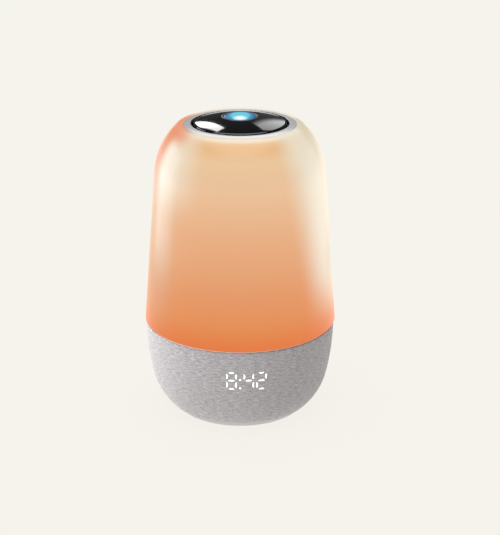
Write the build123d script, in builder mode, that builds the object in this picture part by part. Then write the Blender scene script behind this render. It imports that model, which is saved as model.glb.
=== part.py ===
from build123d import *
import math
import os

# Bedside sound machine: a fabric covered bowl with a clock and a speaker, a glowing shade above it
# and a domed key on top. Millimetres. The rest face of the feet is Z = 0, the front is -Y.
# Outlines with arcs are drawn as short straight runs worked out from the arcs, and round pieces are
# turned with many flat sides, so that the model stays light.

os.makedirs("parts", exist_ok=True)

# ---------------------------------------------------------------- driving dimensions

# Bowl: two arcs that run into each other, from the fabric's top edge down to the underside
bowl_r = 56.3
bowl_top_z = 55.0
bowl_low_z = 5.4
bowl_upper_arc = 150.0
bowl_upper_turn = 12.6
bowl_lower_arc = 36.6
bowl_steps = 5
bowl_spread = 1.6
bowl_flats = 36
skin_sides = 48
fabric_t = 0.8
housing_wall = 2.2

# Bottom cover and feet
cover_low_z = 0.8
cover_floor_t = 2.0
cover_gap = 0.3
cover_rim_w = 3.0
cover_boss_r = 5.0
cover_boss_h = 3.0
deflector_r = 13.0
deflector_tip_r = 2.0
deflector_h = 5.5
foot_r = 4.2
foot_t = 2.0
foot_margin = 7.9

# Grille slots round the speaker's chamber
slot_w = 2.6
slot_h = 6.2
slot_low_z = 7.0

# Speaker web and speaker, which fires down
web_low_z = 14.2
web_t = 2.0
speaker_margin = 1.4
speaker_flange_w = 6.4
speaker_plate_t = 1.2
speaker_back_r = 16.5
speaker_back_z = 26.0
speaker_wall = 1.0
speaker_window_w = 9.0
speaker_screw_margin = 3.1
gasket_t = 0.8
pole_r = 6.2
coil_r = 7.2
coil_wall = 0.4
coil_h = 8.0
coil_gap = 0.4
top_plate_t = 2.2
top_plate_r = 15.0
magnet_r = 17.0
magnet_hole_r = 9.0
magnet_t = 5.2
yoke_t = 2.0
cone_t = 0.5
cone_low_z = 18.0
cone_neck_z = 23.6
cap_tip_r = 3.0
cap_h = 1.8
surround_w = 2.1
surround_roll = 1.4
spider_z = 24.2
spider_t = 0.5
soft_clear = 0.2

# Main board and what stands on it
board_t = 1.6
board_margin = 3.5
board_z = 38.6
board_post_step = 11.1
post_r = 3.2
processor_w = 12.0
processor_spot = (-8.0, 12.0)
processor_h = 1.4
amplifier_w = 6.0
amplifier_spot = (10.0, 0.0)
amplifier_h = 1.2
can_r = 4.0
can_h = 7.5
can_spots = [(12.0, -15.0), (-12.0, -15.0), (8.0, 14.0)]
plug_w = 10.0
key_plug_x = 12.0
side_plug_y = 8.0
plug_d = 4.0
plug_h = 3.0
plug_margin = 4.0

# Clock display behind the fabric
display_z = 37.1
digit_w = 6.2
digit_h = 12.1
digit_x = 5.0
digit_pitch = 7.35
stroke_w = 1.4
stroke_gap = 0.5
dot_w = 1.3
dot_high = 0.9
dot_low = -5.1
segment_t = 1.4
mask_half_w = 17.5
mask_half_h = 8.2
mask_clear = 0.35
mask_flange_t = 1.4
mask_ear_x = 20.9
mask_ear_r = 3.2

# Rear control panel and its keys
panel_z = 40.0
panel_w = 52.0
panel_h = 12.0
panel_proud = 0.6
panel_lip = 1.5
panel_seat = 1.4
panel_post_x = 23.0
panel_post_r = 2.2
key_count = 5
key_pitch = 8.6
key_r = 3.0
key_gap = 0.25
key_proud = 1.3
key_flange_w = 0.5
key_flange_t = 1.0
key_travel = 0.5
key_board_half_w = 26.0
key_board_half_h = 5.6
switch_w = 5.2
switch_h = 3.2
plunger_r = 1.2
plunger_h = 0.8

# Power socket
socket_z = 23.0
socket_sink = 1.7
socket_seat_t = 2.2
socket_flange_r = 6.4
socket_flange_t = 1.2
socket_barrel_r = 5.2
socket_barrel_l = 9.6
socket_bore_r = 2.8
socket_bore_l = 9.5
socket_pin_r = 1.0
socket_pin_l = 9.0
nut_r = 7.2
nut_t = 2.2
bezel_r = 9.2
bezel_lip = 1.2
bezel_wall = 1.2
bezel_proud = 0.5

# Deck, light board and column
deck_z = 50.0
deck_t = 2.0
deck_wall = 1.7
deck_wall_top_z = 60.0
seam = 0.9
led_board_margin = 9.0
led_board_rise = 2.6
led_hole_r = 17.0
led_post_margin = 4.0
led_margin = 10.0
led_count = 12
led_w = 5.0
led_h = 1.5
column_r = 9.4
column_wall = 1.8
column_flange_r = 15.0
column_flange_t = 4.4
column_screw_pitch = 12.2
wire_hole_r = 6.0

# Shade: straight draft, shoulder arc, small lip arc, flat rim round the top opening
shade_overhang = 0.7
shade_wall = 2.0
shade_draft = 4.33
shade_draft_top_z = 146.8
shoulder_arc = 42.1
shoulder_turn = 42.4
shoulder_steps = 5
lip_arc = 4.25
lip_steps = 2
shade_flats = 36
shade_inner_steps = 3
lug_w = 9.0
lug_t = 1.5
lug_low_z = 57.4

# Silver ring, carrier and domed key
ring_margin = 1.08
ring_w = 4.4
ring_t = 1.3
ring_slope = 0.1
hook_gap = 0.4
hook_t = 1.4
hook_w = 8.0
hook_barb = 0.8
hook_barb_h = 0.9
carrier_z = 160.0
carrier_floor_t = 2.0
carrier_wall = 1.6
carrier_lip_w = 0.5
carrier_lip_drop = 0.2
carrier_flange_gap = 0.5
carrier_flange_t = 2.0
ledge_w = 0.65
ledge_t = 1.0
ledge_drop = 4.2
dome_gap = 1.6
dome_arc = 87.5
dome_rise = 4.75
dome_steps = 3
dome_t = 2.4
dome_edge = 0.4
dome_skirt_wall = 1.8
dome_skirt_h = 7.6
dome_travel = 0.8
dome_lug_w = 6.0
dome_lug_reach = 0.7
dome_lug_t = 1.0
pad_boss_r = 2.6
pad_margin = 8.5
pad_h = 4.0
pad_r = 2.4
pusher_r = 1.8
pusher_pitch = 12.5
top_board_margin = 3.0
top_board_sides = 8
top_post_h = 2.6
top_screw_margin = 4.4
barrel_r = 8.6
barrel_wall = 1.0
barrel_h = 9.0
lens_ring_r = 10.8
lens_ring_h = 2.4
lens_r = 9.5
lens_rise = 0.25
lens_recess = 0.4
lens_mid_r = 6.5
lens_flat_r = 2.5
hub_t = 1.2
hub_wall = 1.6
emitter_w = 5.0
emitter_h = 1.5

# Fasteners and clearances
screw_r = 1.25
screw_head_r = 2.3
screw_head_h = 1.5
screw_l = 7.0
small_screw_l = 6.0
fit_gap = 0.1
soft_gap = 0.3
press_gap = 0.05
corner_count = 4
corner_turn = 45.0
top_count = 3
half_step = 60.0
quarter_step = 30.0
round_sides = 16
hex_sides = 6
can_sides = 8

# Flat cables
cable_t = 0.5
cable_w = 8.0
lead_w = 3.0
cable_bend = 1.6
cable_run = 6.0

# ---------------------------------------------------------------- worked out from the above

turn = math.radians(bowl_upper_turn)
upper_centre_r = bowl_r - bowl_upper_arc
lower_centre_r = upper_centre_r + (bowl_upper_arc - bowl_lower_arc) * math.cos(turn)
lower_centre_z = bowl_top_z - (bowl_upper_arc - bowl_lower_arc) * math.sin(turn)
flat_ratio = math.cos(math.pi / bowl_flats)


def bowl_radius(z, inset=0.0):
    """Radius of the bowl's outline at height z, moved in by inset."""
    join_z = bowl_top_z - (bowl_upper_arc - inset) * math.sin(turn)
    if z >= join_z:
        return upper_centre_r + math.sqrt((bowl_upper_arc - inset) ** 2 - (bowl_top_z - z) ** 2)
    return lower_centre_r + math.sqrt((bowl_lower_arc - inset) ** 2 - (lower_centre_z - z) ** 2)


def inside_bowl(z, half_width):
    """Furthest Y at height z where the housing's inside is still as wide as twice half_width."""
    return math.sqrt((bowl_radius(z, housing_inset) * flat_ratio) ** 2 - half_width**2)


housing_inset = fabric_t + housing_wall
web_top_z = web_low_z + web_t
cover_top_z = bowl_low_z - cover_gap
cover_floor_z = cover_low_z + cover_floor_t
cover_boss_top_z = cover_floor_z + cover_boss_h
cover_screw_z = foot_t + screw_head_h
foot_pitch_r = bowl_radius(cover_low_z) - foot_margin
deck_post_r = bowl_radius(web_top_z, housing_inset) - post_r / 2
board_post_r = deck_post_r - board_post_step
board_post_pitch = board_post_r / math.sqrt(2)
board_half = board_post_pitch + board_margin
board_top_z = board_z + board_t
plug_reach = board_half - plug_margin
speaker_r = board_post_r - post_r - speaker_margin
speaker_open_r = speaker_r - speaker_flange_w
speaker_screw_r = speaker_r - speaker_screw_margin
speaker_flange_z = web_top_z + gasket_t
speaker_flange_top_z = speaker_flange_z + speaker_plate_t
basket_low_r = speaker_screw_r - screw_head_r - fit_gap
basket_slope = (basket_low_r - speaker_back_r) / (speaker_back_z - speaker_flange_z)
top_plate_z = speaker_back_z + speaker_plate_t
magnet_z = top_plate_z + top_plate_t
yoke_z = magnet_z + magnet_t
coil_low_z = cone_neck_z - cone_t
basket_inside_r = basket_low_r - speaker_wall
surround_r = basket_inside_r - basket_slope * (cone_low_z - speaker_flange_z) - soft_clear
cone_r = surround_r - surround_w
spider_top_z = spider_z + spider_t
spider_r = speaker_back_r - speaker_wall + basket_slope * (speaker_back_z - spider_top_z) - soft_clear
mask_back_y = inside_bowl(display_z - mask_ear_r, mask_ear_x + mask_ear_r) - mask_clear
mask_screw_deep = small_screw_l - mask_flange_t - board_t
panel_back_y = inside_bowl(panel_z, panel_w / 2) + panel_seat
key_flange_y = panel_back_y - fit_gap - key_flange_t
key_board_y = key_flange_y - key_travel - fit_gap - plunger_h - switch_h
socket_seat_y = bowl_radius(socket_z - bezel_r) - socket_sink
deck_top_z = deck_z + deck_t
deck_r = bowl_radius(deck_z, housing_inset) - soft_gap
led_board_z = deck_top_z + led_board_rise
led_z = led_board_z + board_t
led_board_r = deck_r - led_board_margin
led_post_pitch = led_board_r - led_post_margin
led_pitch_r = led_board_r - led_margin
carrier_top_z = carrier_z + carrier_floor_t
top_board_z = carrier_top_z + top_post_h
top_board_top_z = top_board_z + board_t

draft = math.radians(shade_draft)
shoulder_end = draft + math.radians(shoulder_turn)
shade_r = bowl_r + shade_overhang
shade_low_z = bowl_top_z + seam
draft_top_r = shade_r - (shade_draft_top_z - shade_low_z) * math.tan(draft)
shoulder_centre_r = draft_top_r - shoulder_arc * math.cos(draft)
shoulder_centre_z = shade_draft_top_z - shoulder_arc * math.sin(draft)
lip_centre_r = shoulder_centre_r + (shoulder_arc - lip_arc) * math.cos(shoulder_end)
lip_centre_z = shoulder_centre_z + (shoulder_arc - lip_arc) * math.sin(shoulder_end)
shade_top_z = lip_centre_z + lip_arc
shade_under_z = shade_top_z - shade_wall
ring_seat_z = shade_top_z - ring_t
ring_r = lip_centre_r - ring_margin
ring_hole_r = ring_r - ring_w
carrier_flange_z = shade_under_z - carrier_flange_t
carrier_flange_r = lip_centre_r * math.cos(math.pi / shade_flats) - carrier_flange_gap
carrier_bore_r = ring_hole_r - fit_gap - carrier_lip_w
carrier_r = carrier_bore_r + carrier_wall
hook_r = carrier_r + hook_gap
hook_reach = math.hypot(hook_r + hook_t, hook_w / 2)
dome_r = ring_hole_r - dome_gap
dome_apex_z = shade_top_z + dome_rise
top_board_r = dome_r - top_board_margin
top_screw_pitch = top_board_r - top_screw_margin
pad_pitch = dome_r - pad_margin


def bowl_outline(inset):
    """Points of the bowl's outline from bottom to top, closer together where it curves more."""
    rise = bowl_top_z - bowl_low_z
    heights = [bowl_low_z + rise * (i / bowl_steps) ** bowl_spread for i in range(bowl_steps + 1)]
    return [(bowl_radius(z, inset), z) for z in heights]


def arc_points(centre, radius, start, end, steps):
    """Points along an arc after its start, angles in radians from the outward radius."""
    angles = [start + (end - start) * i / steps for i in range(1, steps + 1)]
    return [(centre[0] + radius * math.cos(a), centre[1] + radius * math.sin(a)) for a in angles]


def shade_outline(inset, shoulder_count, lip_count):
    """Points of the shade's outline from its rim to the flat top, moved in by inset."""
    shoulder = (shoulder_centre_r, shoulder_centre_z)
    lip = (lip_centre_r, lip_centre_z)
    points = [(shade_r - inset / math.cos(draft), shade_low_z)]
    points += arc_points(shoulder, shoulder_arc - inset, draft, draft, 1)
    points += arc_points(shoulder, shoulder_arc - inset, draft, shoulder_end, shoulder_count)
    points += arc_points(lip, lip_arc - inset, shoulder_end, math.pi / 2, lip_count)
    return points


def dome_height(radius):
    """Height of the dome's outer surface at a radius."""
    return dome_apex_z - dome_arc + math.sqrt(dome_arc**2 - radius**2)


def turned(stations, sides=round_sides, mode=Mode.ADD):
    """Solid turned about the Z axis with many flat sides, through (corner radius, height) stations."""
    angles = [2 * math.pi * i / sides for i in range(sides)]
    rings = [[(r * math.cos(a), r * math.sin(a), z) for a in angles] for r, z in stations]
    faces = [Face(Wire.make_polygon(rings[0])), Face(Wire.make_polygon(rings[-1]))]
    for low, high in zip(rings, rings[1:]):
        for i in range(sides):
            faces.append(Face(Wire.make_polygon([low[i - 1], low[i], high[i], high[i - 1]])))
    add(Solid(Shell(faces)), mode=mode)


def bowl_solid(inset, mode=Mode.ADD):
    """The whole bowl with its finely sided surface moved in by inset."""
    turned(bowl_outline(inset), skin_sides, mode)


def flat_bowl(inset, mode=Mode.ADD):
    """The bowl with one flat for each grille slot, corners on the outline moved in by inset."""
    turned(bowl_outline(inset), bowl_flats, mode)


def prism(radius, low_z, high_z, mode=Mode.ADD, sides=round_sides):
    """Upright prism of many flat sides, which stands for a hidden round piece."""
    turned([(radius, low_z), (radius, high_z)], sides, mode)


def flat_ring(outer_r, inner_r, low_z, high_z, sides=round_sides):
    """Upright flat sided ring."""
    prism(outer_r, low_z, high_z, sides=sides)
    prism(inner_r, low_z, high_z, Mode.SUBTRACT, sides)


def posts(spots, radius, low_z, high_z, mode=Mode.ADD, sides=can_sides):
    """Upright prisms at a list of (x, y) spots."""
    with BuildSketch(Plane.XY.offset(low_z)) as base:
        with Locations(*spots):
            RegularPolygon(radius, sides)
    extrude(base.sketch, amount=high_z - low_z, mode=mode)


def screw_holes(spots, low_z, high_z, gap=fit_gap):
    """Upright holes that clear the screws' shanks."""
    posts(spots, screw_r + gap, low_z, high_z, Mode.SUBTRACT, hex_sides)


def blocks(spots, width, depth, low_z, high_z, mode=Mode.ADD):
    """Upright blocks at a list of (x, y) spots."""
    with BuildSketch(Plane.XY.offset(low_z)) as base:
        with Locations(*spots):
            Rectangle(width, depth)
    extrude(base.sketch, amount=high_z - low_z, mode=mode)


def spokes(inner_r, outer_r, width, low_z, high_z, count, start=0.0, mode=Mode.ADD):
    """Blocks that stand round the Z axis, from an inner to an outer radius."""
    middle = (inner_r + outer_r) / 2
    with BuildSketch(Plane.XY.offset(low_z)) as base:
        with PolarLocations(middle, count, start_angle=start):
            Rectangle(outer_r - inner_r, width)
    extrude(base.sketch, amount=high_z - low_z, mode=mode)


def across(start_y, amount, sketch, mode=Mode.ADD):
    """Extrude a sketch of the XZ plane along +Y, from a Y position, by an amount."""
    extrude(sketch.moved(Location((0, start_y, 0))), amount=-amount, mode=mode)


def ring_spots(radius, count, start=0.0):
    """Evenly spaced (x, y) spots on a circle."""
    angles = [math.radians(start + 360 * i / count) for i in range(count)]
    return [(radius * math.cos(a), radius * math.sin(a)) for a in angles]


def upright(spots, z, up=True):
    """Planes at (x, y) spots of one height that face up or down."""
    way = 1 if up else -1
    return [Plane(origin=(x, y, z), x_dir=(1, 0, 0), z_dir=(0, 0, way)) for x, y in spots]


def facing(spots, y, way):
    """Planes at (x, z) spots of one Y position that face along +Y or -Y."""
    return [Plane(origin=(x, y, z), x_dir=(1, 0, 0), z_dir=(0, way, 0)) for x, z in spots]


def screws(planes, length):
    """Screws with their heads' seats at the planes' origins and their shanks against the normals."""
    for plane in planes:
        with BuildSketch(plane) as head:
            RegularPolygon(screw_head_r, hex_sides)
        extrude(head.sketch, amount=screw_head_h)
        with BuildSketch(plane) as shank:
            RegularPolygon(screw_r, hex_sides)
        extrude(shank.sketch, amount=-length)


def many_sided(spots, radius, sides=round_sides):
    """Many sided figures at (x, z) spots on the XZ plane."""
    with BuildSketch(Plane.XZ) as figure:
        with Locations(*spots):
            RegularPolygon(radius, sides)
    return figure.sketch


def plate(centre_z, half_w, half_h):
    """Rectangle on the XZ plane, centred on X = 0."""
    with BuildSketch(Plane.XZ) as figure:
        with Locations((0, centre_z)):
            Rectangle(2 * half_w, 2 * half_h)
    return figure.sketch


def flat_cable(plane, points, width):
    """Flat cable that follows a bent line on a plane and is centred on that plane."""
    with BuildSketch(plane) as band:
        with BuildLine():
            FilletPolyline(*points, radius=cable_bend)
        trace(line_width=cable_t)
    extrude(band.sketch, amount=width / 2, both=True)


def save(builder, name):
    """Label a finished piece and write it to its own file."""
    builder.part.label = name
    export_step(builder.part, f"parts/{name}.step")


# ---------------------------------------------------------------- bottom cover and feet

foot_spots = ring_spots(foot_pitch_r, corner_count, corner_turn)

with BuildPart() as rubber_feet:
    posts(foot_spots, foot_r, 0, foot_t, sides=round_sides)
save(rubber_feet, "rubber_feet")

with BuildPart() as bottom_cover:
    cover_low_r = bowl_radius(cover_low_z)
    cover_top_r = bowl_radius(cover_top_z)
    turned([(cover_low_r, cover_low_z), (cover_top_r, cover_top_z)], skin_sides)
    prism(cover_top_r - cover_rim_w, cover_floor_z, cover_top_z, Mode.SUBTRACT, bowl_flats)
    turned([(deflector_r, cover_floor_z), (deflector_tip_r, cover_floor_z + deflector_h)])
    posts(foot_spots, cover_boss_r, cover_floor_z, cover_boss_top_z)
    posts(foot_spots, foot_r + fit_gap, cover_low_z, foot_t, Mode.SUBTRACT, round_sides)
    posts(foot_spots, screw_head_r + fit_gap, foot_t, cover_screw_z, Mode.SUBTRACT, hex_sides)
    screw_holes(foot_spots, cover_screw_z, cover_boss_top_z)
save(bottom_cover, "bottom_cover")

with BuildPart() as cover_screws:
    screws(upright(foot_spots, cover_screw_z, up=False), screw_l)
save(cover_screws, "cover_screws")

# ---------------------------------------------------------------- clock segments

stroke_rise = (digit_h - stroke_w) / 4
stroke_h = (digit_h - 3 * stroke_w) / 2 - stroke_gap
bar_w = digit_w - 2 * stroke_w - stroke_gap
mask_ears = [(way * mask_ear_x, display_z) for way in (1, -1)]


def digit_strokes(x, left=True):
    """Centres and sizes of the strokes of one seven stroke digit, or of its right side only."""
    side = (digit_w - stroke_w) / 2
    strokes = [(x + side, display_z + way * stroke_rise, stroke_w, stroke_h) for way in (1, -1)]
    if left:
        strokes += [(x - side, display_z + way * stroke_rise, stroke_w, stroke_h) for way in (1, -1)]
        strokes += [(x, display_z + way * 2 * stroke_rise, bar_w, stroke_w) for way in (1, 0, -1)]
    return strokes


def clock_face(grow):
    """All strokes and dots of the clock on the XZ plane, each grown by a clearance."""
    strokes = digit_strokes(-digit_x - digit_pitch, left=False)
    for x in (-digit_x, digit_x, digit_x + digit_pitch):
        strokes += digit_strokes(x)
    strokes += [(0, display_z + rise, dot_w, dot_w) for rise in (dot_high, dot_low)]
    with BuildSketch(Plane.XZ) as face:
        for x, z, width, height in strokes:
            with Locations((x, z)):
                Rectangle(width + 2 * grow, height + 2 * grow)
    return face.sketch


# ---------------------------------------------------------------- housing and fabric

board_spots = [(sx * board_post_pitch, sy * board_post_pitch) for sx in (1, -1) for sy in (1, -1)]
deck_spots = ring_spots(deck_post_r, corner_count, corner_turn)
speaker_spots = ring_spots(speaker_screw_r, 4, 0)
panel_posts = [(way * panel_post_x, panel_z) for way in (1, -1)]
socket_spot = [(0, socket_z)]
bezel_tube_r = bezel_r - bezel_lip


def pill(grow):
    """Pill shape of the control panel on the XZ plane, grown all round."""
    with BuildSketch(Plane.XZ) as figure:
        with Locations((0, panel_z)):
            SlotOverall(panel_w + 2 * grow, panel_h + 2 * grow)
    return figure.sketch


with BuildPart() as wall_bosses:
    across(socket_seat_y - socket_seat_t, bowl_r, many_sided(socket_spot, bezel_r))
    across(-bowl_r, bowl_r - mask_back_y, many_sided(mask_ears, mask_ear_r, can_sides))
    flat_bowl(fabric_t, Mode.INTERSECT)

with BuildPart() as base_housing:
    flat_bowl(fabric_t)
    flat_bowl(housing_inset, Mode.SUBTRACT)
    prism(bowl_radius(web_low_z, fabric_t + housing_wall / 2), web_low_z, web_top_z, sides=bowl_flats)
    prism(speaker_open_r, web_low_z, web_top_z, Mode.SUBTRACT)
    add(wall_bosses.part)
    posts(foot_spots, post_r, cover_boss_top_z, web_low_z)
    posts(board_spots, post_r, web_top_z, board_z)
    posts(deck_spots, post_r, web_top_z, deck_z)
    half_flat = 180 / bowl_flats
    slot_reach = bowl_radius(slot_low_z + slot_h)
    slot_start = bowl_radius(slot_low_z, housing_inset + housing_wall)
    spokes(slot_start, slot_reach, slot_w, slot_low_z, slot_low_z + slot_h,
           bowl_flats, half_flat, Mode.SUBTRACT)
    across(key_board_y, bowl_r, pill(fit_gap), Mode.SUBTRACT)
    across(-bowl_r, bowl_r - mask_back_y, plate(display_z, mask_half_w + fit_gap, mask_half_h + fit_gap),
           Mode.SUBTRACT)
    across(socket_seat_y, bowl_r, many_sided(socket_spot, bezel_tube_r + fit_gap), Mode.SUBTRACT)
    across(0, bowl_r, many_sided(socket_spot, socket_barrel_r + fit_gap), Mode.SUBTRACT)
    across(-mask_back_y - mask_screw_deep, bowl_r, many_sided(mask_ears, screw_r + press_gap, hex_sides),
           Mode.SUBTRACT)
    screw_holes(foot_spots, cover_boss_top_z, web_low_z, press_gap)
    screw_holes(board_spots, board_z - screw_l, board_z, press_gap)
    screw_holes(deck_spots, deck_z - screw_l, deck_z, press_gap)
    screw_holes(speaker_spots, web_low_z, web_top_z, press_gap)
save(base_housing, "base_housing")

with BuildPart() as fabric_sleeve:
    bowl_solid(0)
    flat_bowl(fabric_t, Mode.SUBTRACT)
    across(0, bowl_r, pill(fit_gap), Mode.SUBTRACT)
    across(0, bowl_r, many_sided(socket_spot, bezel_tube_r + fit_gap), Mode.SUBTRACT)
save(fabric_sleeve, "fabric_sleeve")

# ---------------------------------------------------------------- speaker

with BuildPart() as speaker_gasket:
    flat_ring(speaker_r, speaker_open_r, web_top_z, speaker_flange_z)
    screw_holes(speaker_spots, web_top_z, speaker_flange_z)
save(speaker_gasket, "speaker_gasket")

with BuildPart() as speaker_basket:
    prism(speaker_r, speaker_flange_z, speaker_flange_top_z)
    turned([(basket_low_r, speaker_flange_z), (speaker_back_r, speaker_back_z),
             (speaker_back_r, top_plate_z)])
    turned([(basket_inside_r, speaker_flange_z),
             (speaker_back_r - speaker_wall, speaker_back_z)], mode=Mode.SUBTRACT)
    prism(coil_r + coil_gap, speaker_back_z, top_plate_z, Mode.SUBTRACT)
    spokes(speaker_back_r, speaker_r, speaker_window_w, speaker_flange_top_z + speaker_wall,
           speaker_back_z - speaker_wall, corner_count, corner_turn, Mode.SUBTRACT)
    screw_holes(speaker_spots, speaker_flange_z, speaker_flange_top_z)
save(speaker_basket, "speaker_basket")

with BuildPart() as speaker_screws:
    screws(upright(speaker_spots, speaker_flange_top_z), speaker_flange_top_z - web_low_z)
save(speaker_screws, "speaker_screws")

with BuildPart() as speaker_top_plate:
    flat_ring(top_plate_r, coil_r + coil_gap, top_plate_z, magnet_z)
save(speaker_top_plate, "speaker_top_plate")

with BuildPart() as speaker_magnet:
    flat_ring(magnet_r, magnet_hole_r, magnet_z, yoke_z)
save(speaker_magnet, "speaker_magnet")

with BuildPart() as speaker_yoke:
    prism(top_plate_r, yoke_z, yoke_z + yoke_t)
    prism(pole_r, top_plate_z, yoke_z)
save(speaker_yoke, "speaker_yoke")

with BuildPart() as voice_coil:
    flat_ring(coil_r, coil_r - coil_wall, coil_low_z, coil_low_z + coil_h)
save(voice_coil, "voice_coil")

with BuildPart() as speaker_cone:
    turned([(cone_r, cone_low_z), (coil_r + cone_t, cone_neck_z)])
    turned([(cone_r - cone_t, cone_low_z), (coil_r, cone_neck_z)], mode=Mode.SUBTRACT)
save(speaker_cone, "speaker_cone")

with BuildPart() as dust_cap:
    cap_z = coil_low_z - cap_h
    turned([(cap_tip_r, cap_z), (coil_r, coil_low_z)])
save(dust_cap, "dust_cap")

with BuildPart() as speaker_surround:
    roll_r = (cone_r + surround_r) / 2
    turned([(roll_r, cone_low_z - surround_roll), (surround_r, cone_low_z)])
    prism(cone_r + soft_clear, cone_low_z - surround_roll, cone_low_z, Mode.SUBTRACT)
save(speaker_surround, "speaker_surround")

with BuildPart() as speaker_spider:
    flat_ring(spider_r, coil_r + soft_clear, spider_z, spider_top_z)
save(speaker_spider, "speaker_spider")

# ---------------------------------------------------------------- main board

plug_spots = {
    "display": (0, -plug_reach),
    "power": (0, plug_reach),
    "keys": (-key_plug_x, plug_reach),
    "speaker": (plug_reach, side_plug_y),
    "lamp": (plug_reach, -side_plug_y),
    "top": (-plug_reach, 0),
}
side_plugs = [plug_spots[name] for name in ("speaker", "lamp", "top")]
end_plugs = [plug_spots[name] for name in ("display", "power", "keys")]

with BuildPart() as main_board:
    blocks([(0, 0)], 2 * board_half, 2 * board_half, board_z, board_top_z)
    screw_holes(board_spots, board_z, board_top_z)
save(main_board, "main_board")

with BuildPart() as processor_chip:
    blocks([processor_spot], processor_w, processor_w, board_top_z, board_top_z + processor_h)
save(processor_chip, "processor_chip")

with BuildPart() as amplifier_chip:
    blocks([amplifier_spot], amplifier_w, amplifier_w, board_top_z, board_top_z + amplifier_h)
save(amplifier_chip, "amplifier_chip")

with BuildPart() as capacitors:
    posts(can_spots, can_r, board_top_z, board_top_z + can_h)
save(capacitors, "capacitors")

with BuildPart() as board_connectors:
    blocks(end_plugs, plug_w, plug_d, board_top_z, board_top_z + plug_h)
    blocks(side_plugs, plug_d, plug_w, board_top_z, board_top_z + plug_h)
save(board_connectors, "board_connectors")

# ---------------------------------------------------------------- clock display

display_board_y = mask_flange_t - mask_back_y
ear_half_w = mask_ear_x + mask_ear_r
ear_half_h = mask_ear_r + stroke_w

with BuildPart() as display_mask:
    across(-bowl_r, bowl_r - mask_back_y, plate(display_z, mask_half_w, mask_half_h))
    flat_bowl(fabric_t, Mode.INTERSECT)
    across(-mask_back_y, mask_flange_t, plate(display_z, mask_half_w, mask_half_h))
    across(-mask_back_y, mask_flange_t, plate(display_z, ear_half_w, ear_half_h))
    across(-bowl_r, bowl_r, clock_face(press_gap), Mode.SUBTRACT)
    across(-bowl_r, bowl_r, many_sided(mask_ears, screw_r + fit_gap, hex_sides), Mode.SUBTRACT)
save(display_mask, "display_mask")

with BuildPart() as display_segments:
    across(-bowl_r, bowl_r / 2, clock_face(0))
    flat_bowl(fabric_t, Mode.INTERSECT)
    flat_bowl(fabric_t + segment_t, Mode.SUBTRACT)
save(display_segments, "display_segments")

with BuildPart() as display_board:
    across(display_board_y, board_t, plate(display_z, ear_half_w, mask_half_h))
    across(-bowl_r, bowl_r, many_sided(mask_ears, screw_r + fit_gap, hex_sides), Mode.SUBTRACT)
save(display_board, "display_board")

# ---------------------------------------------------------------- rear panel, keys and switches

key_names = ["power_key", "volume_down_key", "sound_key", "volume_up_key", "light_key"]
key_spots = [((i - (key_count - 1) / 2) * key_pitch, panel_z) for i in range(key_count)]

with BuildPart() as panel_plug:
    across(panel_back_y, bowl_r, pill(0))
    bowl_solid(0, Mode.INTERSECT)

with BuildPart() as control_panel:
    across(panel_back_y, bowl_r, pill(panel_lip))
    bowl_solid(-panel_proud, Mode.INTERSECT)
    bowl_solid(0, Mode.SUBTRACT)
    add(panel_plug.part)
    across(key_board_y, panel_back_y - key_board_y, many_sided(panel_posts, panel_post_r, can_sides))
    across(0, 2 * bowl_r, many_sided(key_spots, key_r + key_gap), Mode.SUBTRACT)
    across(key_board_y, small_screw_l, many_sided(panel_posts, screw_r + press_gap, hex_sides), Mode.SUBTRACT)
save(control_panel, "control_panel")

for key_name, key_spot in zip(key_names, key_spots):
    with BuildPart() as key:
        across(key_flange_y, bowl_r, many_sided([key_spot], key_r))
        bowl_solid(-key_proud, Mode.INTERSECT)
        across(key_flange_y, key_flange_t, many_sided([key_spot], key_r + key_flange_w))
    save(key, key_name)

with BuildPart() as key_board:
    across(key_board_y - board_t, board_t, plate(panel_z, key_board_half_w, key_board_half_h))
    across(0, bowl_r, many_sided(panel_posts, screw_r + fit_gap, hex_sides), Mode.SUBTRACT)
save(key_board, "key_board")

with BuildPart() as key_switches:
    with BuildSketch(Plane.XZ) as switch_bodies:
        with Locations(*key_spots):
            Rectangle(switch_w, switch_w)
    across(key_board_y, switch_h, switch_bodies.sketch)
    across(key_board_y + switch_h, plunger_h, many_sided(key_spots, plunger_r, can_sides))
save(key_switches, "key_switches")

# ---------------------------------------------------------------- power socket

socket_face_y = socket_seat_y + socket_flange_t
socket_floor_y = socket_face_y - socket_bore_l


def socket_circle(radius):
    """True circle on the socket's axis, on the XZ plane."""
    with BuildSketch(Plane.XZ) as figure:
        with Locations(*socket_spot):
            Circle(radius)
    return figure.sketch


with BuildPart() as dc_socket:
    across(socket_seat_y, socket_flange_t, many_sided(socket_spot, socket_flange_r))
    across(socket_seat_y - socket_barrel_l, socket_barrel_l, many_sided(socket_spot, socket_barrel_r))
    across(socket_floor_y, socket_bore_l, socket_circle(socket_bore_r), Mode.SUBTRACT)
    across(socket_floor_y, socket_pin_l, socket_circle(socket_pin_r))
save(dc_socket, "dc_socket")

with BuildPart() as socket_nut:
    across(socket_seat_y - socket_seat_t - nut_t, nut_t, many_sided(socket_spot, nut_r, hex_sides))
    across(0, bowl_r, many_sided(socket_spot, socket_barrel_r + press_gap), Mode.SUBTRACT)
save(socket_nut, "socket_nut")

with BuildPart() as bezel_tube:
    across(socket_seat_y, bowl_r, many_sided(socket_spot, bezel_tube_r))
    bowl_solid(0, Mode.INTERSECT)

with BuildPart() as socket_bezel:
    across(socket_seat_y, bowl_r, many_sided(socket_spot, bezel_r))
    bowl_solid(-bezel_proud, Mode.INTERSECT)
    bowl_solid(0, Mode.SUBTRACT)
    add(bezel_tube.part)
    across(0, 2 * bowl_r, many_sided(socket_spot, bezel_tube_r - bezel_wall), Mode.SUBTRACT)
save(socket_bezel, "socket_bezel")

# ---------------------------------------------------------------- deck and light board

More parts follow.
